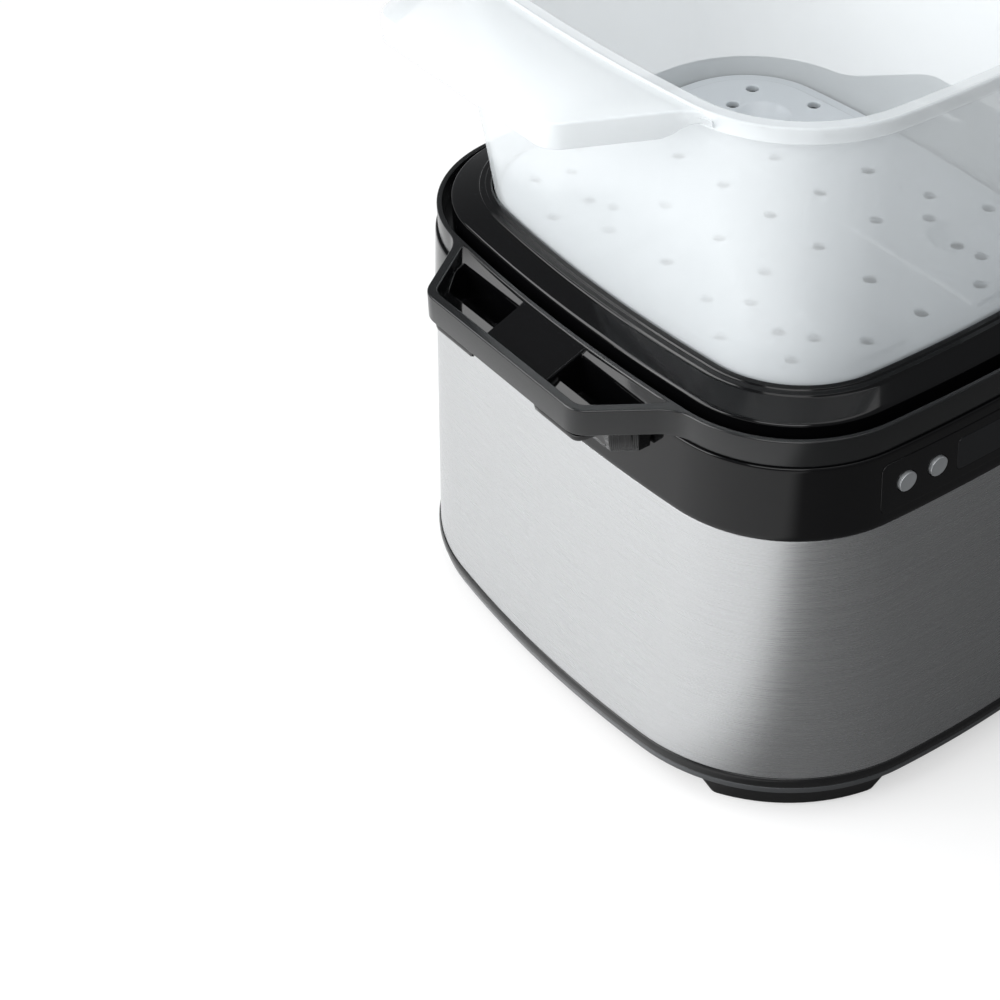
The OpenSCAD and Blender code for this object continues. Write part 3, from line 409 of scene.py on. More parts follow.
def plate(mesh, loops, bottom, top, rim, under_rim=None, steps=4, extra=None, place=None, guard=GUARD):
    """Adds a plate between two height surfaces. Each loop's rim is a quarter circle at the top and
    one underneath: at the angle a the surface lies r(1 - cos a) inside the loop and r(1 - sin a)
    below the plate's face. place turns (x, y, height) into a point in space."""
    under_rim = rim if under_rim is None else under_rim
    place = place or (lambda p: p)
    a = np.linspace(0, np.pi / 2, steps + 1)
    profile = ([(under_rim + guard, bottom, 0)] if guard else [])
    profile += [(under_rim * (1 - math.cos(t)), bottom, under_rim * (1 - math.sin(t))) for t in a[::-1]]
    profile += [(rim * (1 - math.cos(t)), top, -rim * (1 - math.sin(t))) for t in a]
    profile += ([(rim + guard, top, 0)] if guard else [])
    ends = [[], []]
    for i, loop in enumerate(loops):
        rows = []
        for by, face, dz in profile:
            flat = inset(loop, by if i == 0 else -by)
            rows.append(np.column_stack([flat, face(flat) + dz]))
        rows = np.array(rows)
        ends[0].append(rows[0, :, :2])
        ends[1].append(rows[-1, :, :2])
        if i:
            rows = rows[:, ::-1]
        mesh.add(place(rows.reshape(-1, 3)), grid_faces(*rows.shape[:2]))
    for flat, face, up in ((ends[0], bottom, False), (ends[1], top, True)):
        points, tris = fill(flat, up, extra)
        mesh.add(place(np.column_stack([points, face(points)])), tris)
    return mesh


def turned(mesh, profile, centre, axis=(0, 0, 1), steps=48, loop=False):
    """Adds a lathe form: a profile of (radius, height) rows, going up its outside, round an axis. A
    solid starts and ends on the axis, and a ring's profile is a loop."""
    axis = np.array(axis, float) / np.linalg.norm(axis)
    side = np.cross(axis, [0.0, 0, 1] if abs(axis[2]) < 0.9 else [0, -1.0, 0])
    side /= np.linalg.norm(side)
    other = np.cross(axis, side)
    a = 2 * np.pi * np.arange(steps) / steps
    around = np.cos(a)[:, None] * side + np.sin(a)[:, None] * other
    profile = np.asarray(profile, float)
    points = np.array(centre, float) + profile[:, None, :1] * around + profile[:, None, 1:] * axis
    return mesh.grid(points, loop_rows=loop)


def post(mesh, x, y, z0, z1, radius, bore=0.0):
    """Adds an upright post, with a bore or without."""
    rows = [(bore, z0), (radius, z0), (radius, z1), (bore, z1)]
    return turned(mesh, soften(rows, 0.3, 2, closed=bool(bore)), (x, y, 0), steps=32, loop=bool(bore))


print("points of a bored post:", post(Mesh(), 0, 0, 0, 10, 4, 2).count)

# %% [markdown]
# ## Finishes
# Every finish is one Principled shader with what that surface really has: a base colour, a gloss and,
# where the process leaves a grain, a pattern at its true size. Colours are written as sRGB hex values
# and made linear by one function. Patterns use object coordinates, which are metres here.

# %% Shader helpers


def colour(code):
    """An sRGB hex colour as linear RGBA: c / 12.92 up to 0.04045, else ((c + 0.055) / 1.055)^2.4."""
    c = np.array([int(code[i:i + 2], 16) / 255 for i in (1, 3, 5)])
    c = np.where(c <= 0.04045, c / 12.92, ((c + 0.055) / 1.055)**2.4)
    return (*c.tolist(), 1.0)


def add(tree, kind, inputs=None, **settings):
    """Adds a node with its settings. An input's value is a number, a colour or another node's output."""
    node = tree.nodes.new(kind)
    for key, value in settings.items():
        setattr(node, key, value)
    for key, value in (inputs or {}).items():
        if isinstance(value, bpy.types.NodeSocket):
            tree.links.new(value, node.inputs[key])
        else:
            node.inputs[key].default_value = value
    return node


def material(name, base, roughness, **inputs):
    """A material with one Principled shader. Returns it, its tree and the shader."""
    mat = bpy.data.materials.new(name)
    mat.use_nodes = True
    tree = mat.node_tree
    tree.nodes.clear()
    values = {"Base Color": colour(base), "Roughness": roughness}
    values.update({key.replace("_", " "): value for key, value in inputs.items()})
    shader = add(tree, "ShaderNodeBsdfPrincipled", values)
    add(tree, "ShaderNodeOutputMaterial", {"Surface": shader.outputs[0]})
    return mat, tree, shader


def grain(tree, shader, per_mm, height, spread=0.0, detail=2.0):
    """A noise in object space that bumps the surface by a height in mm and varies the roughness by a
    spread either side of its value. per_mm counts the grains in a millimetre, for all axes or each."""
    where = add(tree, "ShaderNodeTexCoord").outputs["Object"]
    scale = (np.full(3, per_mm) / MM).tolist()
    where = add(tree, "ShaderNodeMapping", {"Vector": where, "Scale": scale}).outputs[0]
    value = add(tree, "ShaderNodeTexNoise", {
        "Vector": where, "Scale": 1.0, "Detail": detail, "Roughness": 0.55}).outputs[0]
    bump = add(tree, "ShaderNodeBump", {"Height": value, "Distance": height * MM, "Strength": 1.0})
    tree.links.new(bump.outputs[0], shader.inputs["Normal"])
    if spread:
        vary = within(tree, value, shader.inputs["Roughness"].default_value, spread)
        tree.links.new(vary, shader.inputs["Roughness"])
    return value


def within(tree, value, middle, spread):
    """Turns the noise's usual range, 0.3 to 0.7, into a range either side of a middle value."""
    return add(tree, "ShaderNodeMapRange", {
        "Value": value, "From Min": 0.3, "From Max": 0.7,
        "To Min": middle - spread, "To Max": middle + spread}).outputs[0]


print("half way in sRGB is linear", round(colour("#808080")[0], 3))


# %% [markdown]
# ## The table of finishes
# A plain finish needs its name, colour and roughness, a few more inputs such as Metallic, and for a
# textured mould or a pressed sheet the grain: how many to the millimetre, how high in millimetres,
# and how much the roughness varies. One loop makes them all. A moulded or pressed grain this fine
# doesn't show as dots, but it takes the hard edge off the reflections.

# %% Plain finishes
METAL = {"Metallic": 1.0}
table = {
    # Gloss ABS from a polished mould: near black, with sharp but weak reflections
    "gloss_black": ("gloss black ABS", "#060607", 0.08, {"IOR": 1.38}),
    # Satin PP: the mould is eroded to a fine texture, so the reflections are wide and dim
    "frame_grey": ("satin dark grey PP", "#101112", 0.22, {}, 2.6, 0.004, 0.03),
    "moulded_black": ("dull black PP", "#0A0A0B", 0.4, {}, 2.0, 0.005),
    "trim_black": ("black trim ABS", "#0C0C0D", 0.2, {}),
    "tank_grey": ("dark grey tank PP", "#232527", 0.34, {}),
    # Paint and rubber: an even grey with a semi-gloss coat, and a pad that reflects next to nothing
    "bezel_grey": ("grey painted bevel", "#4B4D4F", 0.33, {}),
    "rubber_pad": ("black rubber pad", "#1B1B1B", 0.75, {}),
    "silicone": ("silicone seal", "#B4B7B9", 0.55, {}),
    # Metals: the pressed plate and the zinc are bright, the cast and the heated ones are dull
    "plate_steel": ("pressed stainless plate", "#C4C5C6", 0.28, METAL, 0.9, 0.002, 0.05),
    "spreader_aluminium": ("cast aluminium", "#A3A6A9", 0.45, METAL),
    "element_steel": ("heated steel tube", "#5A5C5E", 0.4, METAL),
    "zinc_steel": ("zinc plated steel", "#AEB1B4", 0.3, METAL),
    "brass_cap": ("brass cap", "#B58B45", 0.3, METAL),
    # Electrical parts: matt ceramic, a lacquered board and moulded resin
    "ceramic_body": ("dark ceramic body", "#2E3032", 0.6, {}),
    "board_green": ("green solder mask", "#1F5A2E", 0.35, {}),
    "part_dark": ("dark component resin", "#2B2D30", 0.45, {}),
    # The panel: the lens is smoked until the display behind it hides, and the caps are painted with
    # aluminium flake, which is partly metallic
    "lens_smoke": ("smoked acrylic lens", "#0B0D10", 0.05, {}),
    "display_grey": ("display diffuser", "#C9CDC8", 0.5, {}),
    "button_silver": ("silver painted button", "#B9BCBE", 0.3, {"Metallic": 0.6}),
    # Milky polypropylene: a part of the light goes straight through the wall, so that dark things
    # behind it show as soft shapes. The floor is thicker and lies over the dark tray, and hides it. Its
    # darker grey is painted shade, which stands in for the dark tray that dims it from below.
    "basket_milk": ("milky polypropylene", "#EDF1F3", 0.22, {"Alpha": 0.46}),
    "floor_milk": ("milky polypropylene floor", "#CBD0D4", 0.25, {"Alpha": 0.96}),
}
finish = {}
for slot, (name, base, roughness, inputs, *pattern) in table.items():
    mat, tree, shader = material(name, base, roughness, **inputs)
    if pattern:
        grain(tree, shader, *pattern)
    finish[slot] = mat
print(len(finish), "plain finishes")

# %% [markdown]
# ## Brushed stainless steel
# The sleeve's sheet was brushed with a belt along its length, so the grain runs level round the body.
# It is fine in height, about 0.2 mm from line to line, and some 45 mm long. Such a grain smears every
# reflection up and down, which an anisotropic shader does when its tangent runs round the Z axis. The
# noise, stretched along the sheet, adds the lines themselves to the height, the tone and the gloss.

# %% Brushed steel
STEEL = "#C2C3C4"
mat, tree, shader = material("brushed stainless steel", STEEL, 0.27, Metallic=1.0, Anisotropic=0.8)
value = grain(tree, shader, (0.022, 0.022, 5.2), 0.0015, 0.06, detail=3.0)
tangent = add(tree, "ShaderNodeTangent", direction_type="RADIAL", axis="Z")
tree.links.new(tangent.outputs[0], shader.inputs["Tangent"])
tint = within(tree, value, 0.99, 0.06)
tone = add(tree, "ShaderNodeVectorMath", {0: colour(STEEL)[:3], "Scale": tint}, operation="SCALE")
tree.links.new(tone.outputs[0], shader.inputs["Base Color"])
finish["steel_brushed"] = mat
print("brushed steel:", len(tree.nodes), "nodes")

# %% [markdown]
# ## The foot of the base
# A black moulded plate closes the base from below. It stands on four curved corner feet with stuck-on
# rubber pads, and air reaches the electronics through two rows of slots. A grey bevel band and a
# black trim ring run round it. The feet could be bent boxes under a Curve modifier, but each is
# simpler as a rounded rectangle whose length is laid round the centre of the body's corner.

# %% Base plate and feet
PLATE_T, BORE = 3.0, 1.8                 # the plate's thickness, and the radius of a screw's hole
FOOT_WIDTH, FOOT_IN, FOOT_ROUND = 22.0, 1.8, 3.5     # a foot, and how far it stands inside the body
FOOT_FROM, FOOT_TO, DRAFT = 25, 83, 4    # a foot's arc round the corner and its taper, in degrees
VENT_PITCH, VENT_Y, VENT_LENGTH, VENT_WIDTH = 9.0, 95.0, 46.0, 3.5
SCREW_HEAD, BOARD_IN = 3.5, 5.0          # from an outer edge to a screw's axis: of a head, of the board
plate_o = grow(foot_o, -1.2)
post_x, post_y = high("base_screws")[:2] - SCREW_HEAD
board_x, board_y = high("power_board")[:2] - BOARD_IN
z_board = low("power_board")[2]


def foot(mesh, sx, sy):
    """A corner foot: loops of a rounded rectangle, bent about the corner's centre. It tapers at each
    end, and its outer face leans in by 2 mm between the plate and the pad."""
    cx, cy = foot_o[:2] - foot_o[2] - foot_o[3:]
    inner_r = foot_o[2] - FOOT_IN - FOOT_WIDTH
    middle_r = inner_r + FOOT_WIDTH / 2
    grid = []
    for up, shrink in [(0, 1.2), (0.1, 0.75), (0.5, 0.25), (1.2, 0), (z_plate + 1 - z_pad, 0)]:
        t = 1 - up / (z_plate - z_pad)
        a0, a1 = np.radians([FOOT_FROM + DRAFT * t, FOOT_TO - DRAFT * t])
        length, width = (a1 - a0) * middle_r, FOOT_WIDTH - 2 * t
        loop = rectangle(length - 2 * shrink, width - 2 * shrink, FOOT_ROUND, along=16)
        a = (a0 + a1) / 2 - loop[:, 0] / middle_r
        r = inner_r + width / 2 + loop[:, 1]
        x, y = sx * (cx + r * np.cos(a)), sy * (cy + r * np.sin(a))
        grid.append(np.column_stack([x, y, np.full(len(a), z_pad + up)]))
    grid = np.array(grid)
    if sx * sy < 0:                      # a bend to this side has turned the loops clockwise
        grid = grid[:, ::-1]
    mesh.grid(grid)
    mesh.cap([grid[0, :, :2]], z_pad, up=False)
    mesh.cap([grid[-1, :, :2]], z_plate + 1)


corners = [(sx, sy) for sx in (-1, 1) for sy in (-1, 1)]
base = Mesh()
vents = [capsule(VENT_PITCH * k, VENT_Y * s, VENT_LENGTH, VENT_WIDTH, across=True)
         for s in (-1, 1) for k in range(-3, 4)]
bores = [circle(sx * post_x, sy * post_y, BORE) for sx, sy in corners]
plate(base, [outline(plate_o)[0]] + vents + bores, level(z_plate), level(z_plate + PLATE_T), 0.3)
for sx, sy in corners:
    foot(base, sx, sy)
    post(base, sx * board_x, sy * board_y, z_plate + 2, z_board, 3.5, BORE)
base.done("base_plate", "base", "moulded_black", angle=40)

# %% Bevel band and trim ring
SHEET, TRIM_LIP, LINER = 0.8, 8.0, 2.5   # the steel, the trim's inner lip, and the black liner
ring_shell("base_bezel", "bezel_grey", [
    (foot_o, -0.6, z_plate), (foot_o, 0.5, z_trim - 0.3), (foot_o, 0.3, z_trim),
    (foot_o, -4.6, z_trim), (foot_o, -4.6, z_plate + PLATE_T),
    (foot_o, -1.15, z_plate + PLATE_T), (foot_o, -1.15, z_plate)], 0.25)


def sleeve_at(z):
    """The sleeve's outline at a height: a straight taper from its foot to its top."""
    return foot_o + (top_o - foot_o) * (z - z_sleeve) / (z_housing - z_sleeve)


z_inner = z_sleeve + TRIM_LIP
inner_o = sleeve_at(z_inner)
ring_shell("lower_trim", "trim_black", [
    (foot_o, 0.2, z_trim), (foot_o, 1.1, z_trim + 1.2), (foot_o, 1.2, z_sleeve - 1.8),
    (foot_o, 0.4, z_sleeve), (foot_o, -SHEET - 0.05, z_sleeve),
    (inner_o, -SHEET - 0.05, z_inner), (inner_o, -SHEET - 2, z_inner),
    (foot_o, -SHEET - 2, z_trim)], [0.3, 0.8, 1.0, 0.3, 0.2, 0.3, 0.3, 0.3])

# %% [markdown]
# ## The steel sleeve and the cord bush
# The sleeve is a strip of brushed stainless steel, rolled and welded, 0.8 mm thick. Its top is a
# smaller pillow than its foot, so the wall leans in and its corners tighten upwards. At the back the
# cord enters through a black bush in a round hole. Leaving the hole out of the swept grid would need
# a patch round it, so a Boolean difference cuts it. A black liner backs the steel. Its five panels
# meet in 1 mm seams that nobody sees, so they are drawn as one ring.

# %% Sleeve, bush and liner
GLAND_Z, GLAND_R, GLAND_BORE = 46.0, 7.5, 3.7
lean = math.atan2(foot_o[1] - top_o[1], z_housing - z_sleeve)
gland_axis = np.array([0, math.cos(lean), math.sin(lean)])
gland_at = np.array([0, sleeve_at(GLAND_Z)[1], GLAND_Z])
hole_r = GLAND_R + 0.1
bush_hole = turned(Mesh(), [(0, -10), (hole_r, -10), (hole_r, 10), (0, 10)], gland_at, gland_axis)
ring_shell("steel_sleeve", "steel_brushed", [
    (foot_o, 0, z_sleeve), (top_o, 0, z_housing), (top_o, -SHEET, z_housing),
    (foot_o, -SHEET, z_sleeve)], 0.15, cutters=[bush_hole], angle=40)
gland = turned(Mesh(), soften([
    (GLAND_BORE, -10), (GLAND_R, -10), (GLAND_R, -5.8), (10, -5.8), (10, -3.8), (GLAND_R, -3.8),
    (GLAND_R, 0), (11, 0), (11, 1.6), (GLAND_BORE, 1.6)], 0.4, 3), gland_at, gland_axis, loop=True)
gland.done("cord_gland", "base", "moulded_black", angle=40)

z_skirt = z_housing - 7
z_liner, z_liner_top = z_inner + 0.2, z_skirt - 0.2
lo_o, hi_o = (grow(sleeve_at(z), -SHEET - 0.6) for z in (z_liner, z_liner_top))
ring_shell("body_liner", "moulded_black", [
    (lo_o, 0, z_liner), (hi_o, 0, z_liner_top), (hi_o, -LINER, z_liner_top), (lo_o, -LINER, z_liner)],
    0.3, cutters=[bush_hole], angle=40)

# %% [markdown]
# ## The black housing
# The band under the frame is one gloss black moulding. It carries the frame, the water tank and four
# long screw posts. In front it has a shallow recess for the fascia, a window opening and four button
# holes. The band is swept like the sleeve, and two cutters take the recess and the openings away.
# They have to follow the front wall, which leans and bows, so each of their points lies at its own
# depth from that wall.

# %% The front wall
SHELF = 10.0                             # how far the frame's inner shelf reaches in
RECESS, BUTTON_HOLE = 1.4, 5.3           # the recess's depth and the radius of a button's hole
BUTTONS = {"button_menu": "menu_button", "button_minus": "minus_button",
           "button_plus": "plus_button", "button_start": "start_button"}     # node: its body
housing_lo, housing_hi = grow(top_o, 0.7), grow(frame_o, 1.4)
tank_o = grow(frame_o, -FRAME_WALL - SHELF - 0.5)
z_flange = z_frame - LINER
z_panel = (z_frame + z_housing) / 2 + 0.5
button_x = [(low(node)[0] + high(node)[0]) / 2 for node in BUTTONS]


def housing_at(z):
    """The black band's outline at each height: a straight taper between its two rims."""
    t = (np.atleast_1d(z) - z_housing) / (z_frame - z_housing)
    return housing_lo + (housing_hi - housing_lo) * t[:, None]


def front_y(o, x):
    """Where the front of a pillow outline lies at a distance x from the middle: on the shallow arc
    of the front, or beyond its end on the corner's arc."""
    w, d, r, side, end = np.atleast_2d(o).T
    cx, cy = w - r - side, d - r - end
    re = (cx**2 + end**2) / (2 * end)
    on_end = -(cy + end - re + np.sqrt((re + r)**2 - x**2))
    on_corner = -(cy + np.sqrt(np.maximum(r**2 - (np.abs(x) - cx)**2, 0)))
    return np.where(np.abs(x) < cx * (re + r) / re, on_end, on_corner)


def on_front(points):
    """Takes (x, z, height above the wall) to a point in space, along -Y from the band's front."""
    x, z, proud = points.T
    return np.column_stack([x, front_y(housing_at(z), x) - proud, z])


def on_panel(width, height, radius):
    """A rounded rectangle round the middle of the panel."""
    return rectangle(width, height, radius) + [0, z_panel]


print("the front wall's middle lies at y =", front_y(housing_at(z_panel), 0).round(1))

# %% Upper housing
recess, openings = Mesh(), Mesh()
plate(recess, [on_panel(132.2, 27.2, 4.1)], level(-RECESS), level(5), 0, guard=0, place=on_front)
plate(openings, [on_panel(42, 15, 2)], level(-12), level(0), 0, guard=0, place=on_front)
outside, behind = -frame_o[1] - 5, -135
for x in button_x:
    turned(openings, [(0, outside), (BUTTON_HOLE, outside), (BUTTON_HOLE, behind), (0, behind)],
           (x, 0, z_panel), (0, 1, 0))
skirt = grow(sleeve_at(z_skirt), -SHEET - 0.1)
inner = grow(frame_o, -FRAME_WALL - 0.5)
seat = grow(tank_o, 2.8)
z_back = z_flange - LINER
band = Mesh().grid(sweep([
    (skirt, 0, z_skirt), (top_o, -SHEET - 0.1, z_housing), (top_o, -0.1, z_housing),
    (top_o, 0.5, z_housing + 0.8), (housing_lo, 0, z_housing + 2.5), (housing_hi, 0, z_frame - 1.2),
    (housing_hi, -0.5, z_frame), (inner, 0, z_frame), (inner, 0, z_flange), (seat, 0, z_flange),
    (seat, 0, z_back), (housing_at(z_back)[0], -LINER, z_back),
    (housing_lo, -LINER, z_housing + 3), (skirt, -LINER, z_skirt)],
    [0.2, 0.1, 0.1, 0.6, 1.0, 0.8, 0.5, 0.3, 0.3, 0.3, 0.3, 0.5, 0.5, 0.3]), loop_rows=True)
band.done("upper_housing", "base", "gloss_black", cutters=[recess, openings], angle=38)
posts = Mesh()
for sx, sy in corners:
    post(posts, sx * post_x, sy * post_y, z_plate + PLATE_T, z_back, 4, BORE)
posts.done("housing_posts", "base", "gloss_black", "upper_housing")

# %% [markdown]
# ## The control panel
# A thin fascia with a window and four holes is glued into the recess, a smoked lens fills the window,
# and a silver cap with a collar behind the fascia stands in each hole. Fascia and lens are plates on
# the same bent front as the cutters, with a grid of points inside so that they bow with the wall. The
# caps are lathe forms. Their collars keep them from falling out.

# %% Fascia, window and buttons
fascia = [on_panel(132, 27, 4), on_panel(44.1, 17.1, 2.5)]
fascia += [circle(x, z_panel, BUTTON_HOLE, 40) for x in button_x]
for name, slot, loops, proud in [("control_fascia", "gloss_black", fascia, 0.4),
                                 ("display_window", "lens_smoke", [on_panel(44, 17, 2.45)], 0.5)]:
    within_loops = spread(loops, 6, 2)
    plate(Mesh(), loops, level(-RECESS), level(proud), 0.3, extra=within_loops, place=on_front).done(
        name, "base", slot, angle=40)

CAP_R, COLLAR_R, COLLAR_T, PIN_R = 5.0, 6.3, 0.8, 2.5
for (node, body), x in zip(BUTTONS.items(), button_x):
    face, end = low(node)[1], high(node)[1]
    back = front_y(grow(housing_at(z_panel)[0], -LINER), abs(x))[0] + 0.9
    turned(Mesh(), soften([
        (0, face + 0.15), (3.2, face + 0.1), (CAP_R, face), (CAP_R, back), (COLLAR_R, back),
        (COLLAR_R, back + COLLAR_T), (PIN_R, back + COLLAR_T), (PIN_R, end), (0, end)],
        0.35, 3, closed=False), (x, 0, z_panel), (0, 1, 0)).done(node, body, "button_silver", angle=40)

# %% [markdown]
# ## The handle frame
# One dark grey moulding: a 3 mm band round the rim, a shelf inside it that carries the drip tray,
# and a loop handle on each side. Seen from above a handle is a trapezoid that grows out of the band
# over a rounded root. Joining a band and two loops with Booleans would leave hard seams at the roots,
# so the whole frame is one plate: its outer loop runs round band and handles, and the rim and the
# two finger openings are holes in it. The rounded edges show as thin bright lines in soft light.

# %% Loops with handles
GRIP_X, ROOT_HALF, GRIP_HALF = high("handle_frame")[0], 86.0, 58.0     # a base handle from above
WALL, ROUND, ROOT_TURN = 5.0, 14.0, 9.0  # a handle's wall, its corner, and its rounded root
ROOT_IN = SIDE_BOW + 1.5                 # how far inside the outline a handle's edges start
FINE = 0.5                               # the distance between points where a handle meets a side


def trapezoid(x0, x1, half0, half1, by):
    """Root and grip corners of a handle, all its edges moved inwards by a distance."""
    k = (half0 - half1) / (x1 - x0)
    drop = by * math.hypot(1, k)
    return np.array([x0, half0 - drop]), np.array([x1 - by, half1 + k * by - drop])


def flank(o):
    """The +X side of an outline from y = 0 upwards, at small steps."""
    loop = densify(outline(o)[0], FINE)
    keep = loop[(loop[:, 0] > 0) & (loop[:, 1] >= 0)]
    return keep[np.argsort(keep[:, 1])]


def grip(o, handle, corner, by=0.0):
    """A handle's upper half where it meets an outline: the side, the index and the point where the
    slanted edge crosses it, the edge's direction, and the path round the grip's corner."""
    side = flank(o)
    root, tip = trapezoid(*handle, by)
    ahead = (tip - root) / np.linalg.norm(tip - root)
    away = (side - root) @ np.array([-ahead[1], ahead[0]])
    i = np.flatnonzero((away[:-1] < 0) & (away[1:] >= 0))[0]
    joint = side[i] + (side[i + 1] - side[i]) * away[i] / (away[i] - away[i + 1])
    turn = corner * math.tan(math.acos(-ahead[1]) / 2)
    path = np.vstack([[[tip[0], tip[1] / 2]], bend(tip - [0, turn], tip, tip - ahead * turn)])
    return side, i, joint, ahead, path


def with_handles(o, handle, corner):
    """An outline with a handle on each side: grip, rounded corner, slanted edge, rounded root. A
    quarter of it is mirrored at both axes."""
    side, i, joint, ahead, path = grip(o, handle, corner)
    above = side[i + 1 + int(ROOT_TURN / FINE)]
    rest = outline(o)[0]
    end = [[0, rest[:, 1].max()]]
    rest = rest[(rest[:, 1] > above[1] + 1) & (rest[:, 0] > 1)]
    root = bend(joint + ahead * ROOT_TURN, joint, above)
    quarter = np.vstack([[[path[0, 0], 0]], path, root, rest, end])
    half = np.vstack([quarter, quarter[-2::-1] * [-1, 1]])
    return np.vstack([half, half[-2:0:-1] * [1, -1]])


def opening(o, handle, corner, by, sharp=2.0):
    """The space inside one handle, +X side: the outline's face and the handle's edges moved in."""
    side, i, joint, ahead, path = grip(o, handle, corner, by)
    face = side[:i][side[:i, 1] < joint[1] - 5][::12]
    down = side[i - 8] - joint
    down /= np.linalg.norm(down)
    inner_root = bend(joint + ahead * sharp, joint, joint + down * sharp, 5)
    upper = np.vstack([path, inner_root, face[::-1][:-1]])
    return np.vstack([upper, [[o[0], 0]], upper[::-1] * [1, -1], [[path[0, 0], 0]]])


print("a handle stands out by", round(GRIP_X - frame_o[0], 1), "mm")

# %% Handle frame
base_handle = (frame_o[0] - ROOT_IN, GRIP_X, ROOT_HALF, GRIP_HALF)
rim_o = grow(frame_o, -FRAME_WALL)
outer_loop = densify(with_handles(frame_o, base_handle, ROUND), 6)
finger_hole = densify(opening(frame_o, base_handle, ROUND - WALL, WALL), 6)
loops = [outer_loop, outline(rim_o)[0], finger_hole, finger_hole[::-1] * [-1, 1]]
frame_mesh = plate(Mesh(), loops, level(z_frame), level(z_rim), 0.9, 0.6, steps=6)
shelf = [outline(grow(rim_o, by))[0] for by in (0.3, -SHELF)]
plate(frame_mesh, shelf, level(z_frame), level(z_frame + 2), 0.3)
frame_mesh.done("handle_frame", "base", "frame_grey")

# %% [markdown]
# ## The finger wells
# Each loop handle is closed below by a gloss black tray. From the band it falls outwards as a ramp,
# two deep pockets for the finger tips are sunk next to the body, and a bridge between them starts at
# the band's rim. Sculpting or extruding could shape it. One height function of x and y is exact: it
# adds the ramp, the bridge and the pockets, and it is sampled on lines that lie closer together
# where it bends.

# %% The wells' height
POCKET = (132.4, 146.0, 24.0, 70.0)      # a pocket's near and far wall, and its two ends
POCKET_DEEP, WELL_T, STEP = 10.0, 2.5, 0.8     # its depth, the moulding's wall, a side's run
RAMP, BRIDGE = math.tan(math.radians(28)), math.tan(math.radians(20))


def ramp(t):
    """A smooth step from 0 to 1: 3t^2 - 2t^3, held at its ends."""
    t = np.clip(t, 0, 1)
    return t * t * (3 - 2 * t)


def pocket_end(x):
    """Where the pockets end along Y: at a straight wall, or along the handle's slanted edge."""
    slant = (GRIP_X - WALL - 2 - x) * (ROOT_HALF - GRIP_HALF) / (GRIP_X - base_handle[0])
    return np.minimum(POCKET[3], GRIP_HALF - 2 + slant)


def well_face(p, wall=0.0):
    """Height of a well: a ramp, a bridge over it and two sunk pockets. Its underside lies a wall
    lower, and has pockets that are a wall larger."""
    x, y = np.abs(p).T
    floor = z_frame - 3 + (GRIP_X - WALL - x) * RAMP
    bridge = z_rim - 1 - (x - frame_o[0]) * BRIDGE
    z = floor + np.maximum(bridge - floor, 0) * ramp(POCKET[2] - y + 0.2)
    near, far, start, end = POCKET[0] - wall, POCKET[1] + wall, POCKET[2] - wall, pocket_end(x) + wall
    sunk = ramp((x - near) / STEP) * ramp((far - x) / 0.9)
    sunk = sunk * ramp((y - start) / STEP) * ramp((end - y) / STEP)
    return z + (z_frame - POCKET_DEEP - z) * sunk - wall


print("height under the grip:", well_face(np.array([[GRIP_X - WALL, 0.0]])).round(1))

# %% Finger wells


def lines(marks, step, reach=1.0, near=0.25):
    """Sampling lines between the first mark and the last: closely spaced around each mark."""
    out = [np.arange(marks[0], marks[-1], step)]
    out += [np.arange(m - reach, m + reach + near, near) for m in marks]
    out = np.unique(np.round(np.concatenate(out), 3))
    return out[np.concatenate([[True], np.diff(out) > near * 0.6])]


def well(mesh, side):
    """Adds one well: the plate inside the loop, a little embedded in its walls. Lines run along the
    middle of each pocket side, above and underneath, and follow its slanted end."""
    loop = densify(opening(grow(frame_o, -1), base_handle, ROUND - WALL, WALL - 1.8, 4.5), 3)
    near, far, start, end = np.array(POCKET) + np.array([1, -1, 1, -1]) * STEP / 2
    at_y = [start - WELL_T, start, end, end + WELL_T]
    at_x = [129.0, near - WELL_T, near, far, far + WELL_T, 160.0]
    at_y = [-80] + [-y for y in at_y[::-1]] + at_y + [80]
    points = [pairs(*np.meshgrid(lines(at_x, 2.5), lines(at_y, 4.0)))]
    x, beyond = np.meshgrid(np.arange(129.0, 150.0, 0.7), np.arange(-1.1, 0.4, 0.2))
    points += [pairs(x, s * (pocket_end(x) + wall + beyond)) for s in (-1, 1) for wall in (0, WELL_T)]
    points = np.vstack(points)
    points = points[distance(points, loop) > 0.7]
    if side < 0:
        loop, points = loop[::-1] * [-1, 1], points * [-1, 1]
    plate(mesh, [loop], lambda p: well_face(p, WELL_T), well_face, 0.2, extra=points, steps=2)


wells = Mesh()
for side in (-1, 1):
    well(wells, side)
wells.done("handle_wells", "base", "gloss_black")

# %% [markdown]
# ## The water tank and the heater plate
# The tank is a dark grey pan that hangs from the housing. Its floor has a round opening, closed from
# below by a pressed steel plate with the heater behind it. The pan is one open sweep whose two floor
# faces are flat caps with the round hole, and the pressed plate is turned like a plate on a lathe.

# %% Tank and heater plate
TANK_T, TANK_TAPER = 2.5, 17.0           # the pan's wall, and how far it narrows towards its floor
OPENING_R, BOSS_AT, BOSSES, ROUND_STEPS = 70.0, 82.5, 6, 96
tank_floor = high("heater_plate")[2] - 0.5
z_under = tank_floor - TANK_T
tank_base = grow(tank_o, -TANK_TAPER)
tank = Mesh()
grid = sweep([
    (tank_base, 1.0, z_under), (tank_base, TANK_T, z_under + 1.5), (tank_o, TANK_T, z_flange),
    (inner, -0.2, z_flange), (inner, -0.2, z_frame), (tank_o, 0, z_frame),
    (tank_base, 0, tank_floor + 3), (tank_base, -3, tank_floor)],
    [0, 1.5, 0.5, 0.3, 0.5, 0.8, 6, 0], closed=False)
tank.grid(grid)
heater_hole = circle(0, 0, OPENING_R, ROUND_STEPS)
tank.cap([grid[0, :, :2], heater_hole], z_under, up=False)
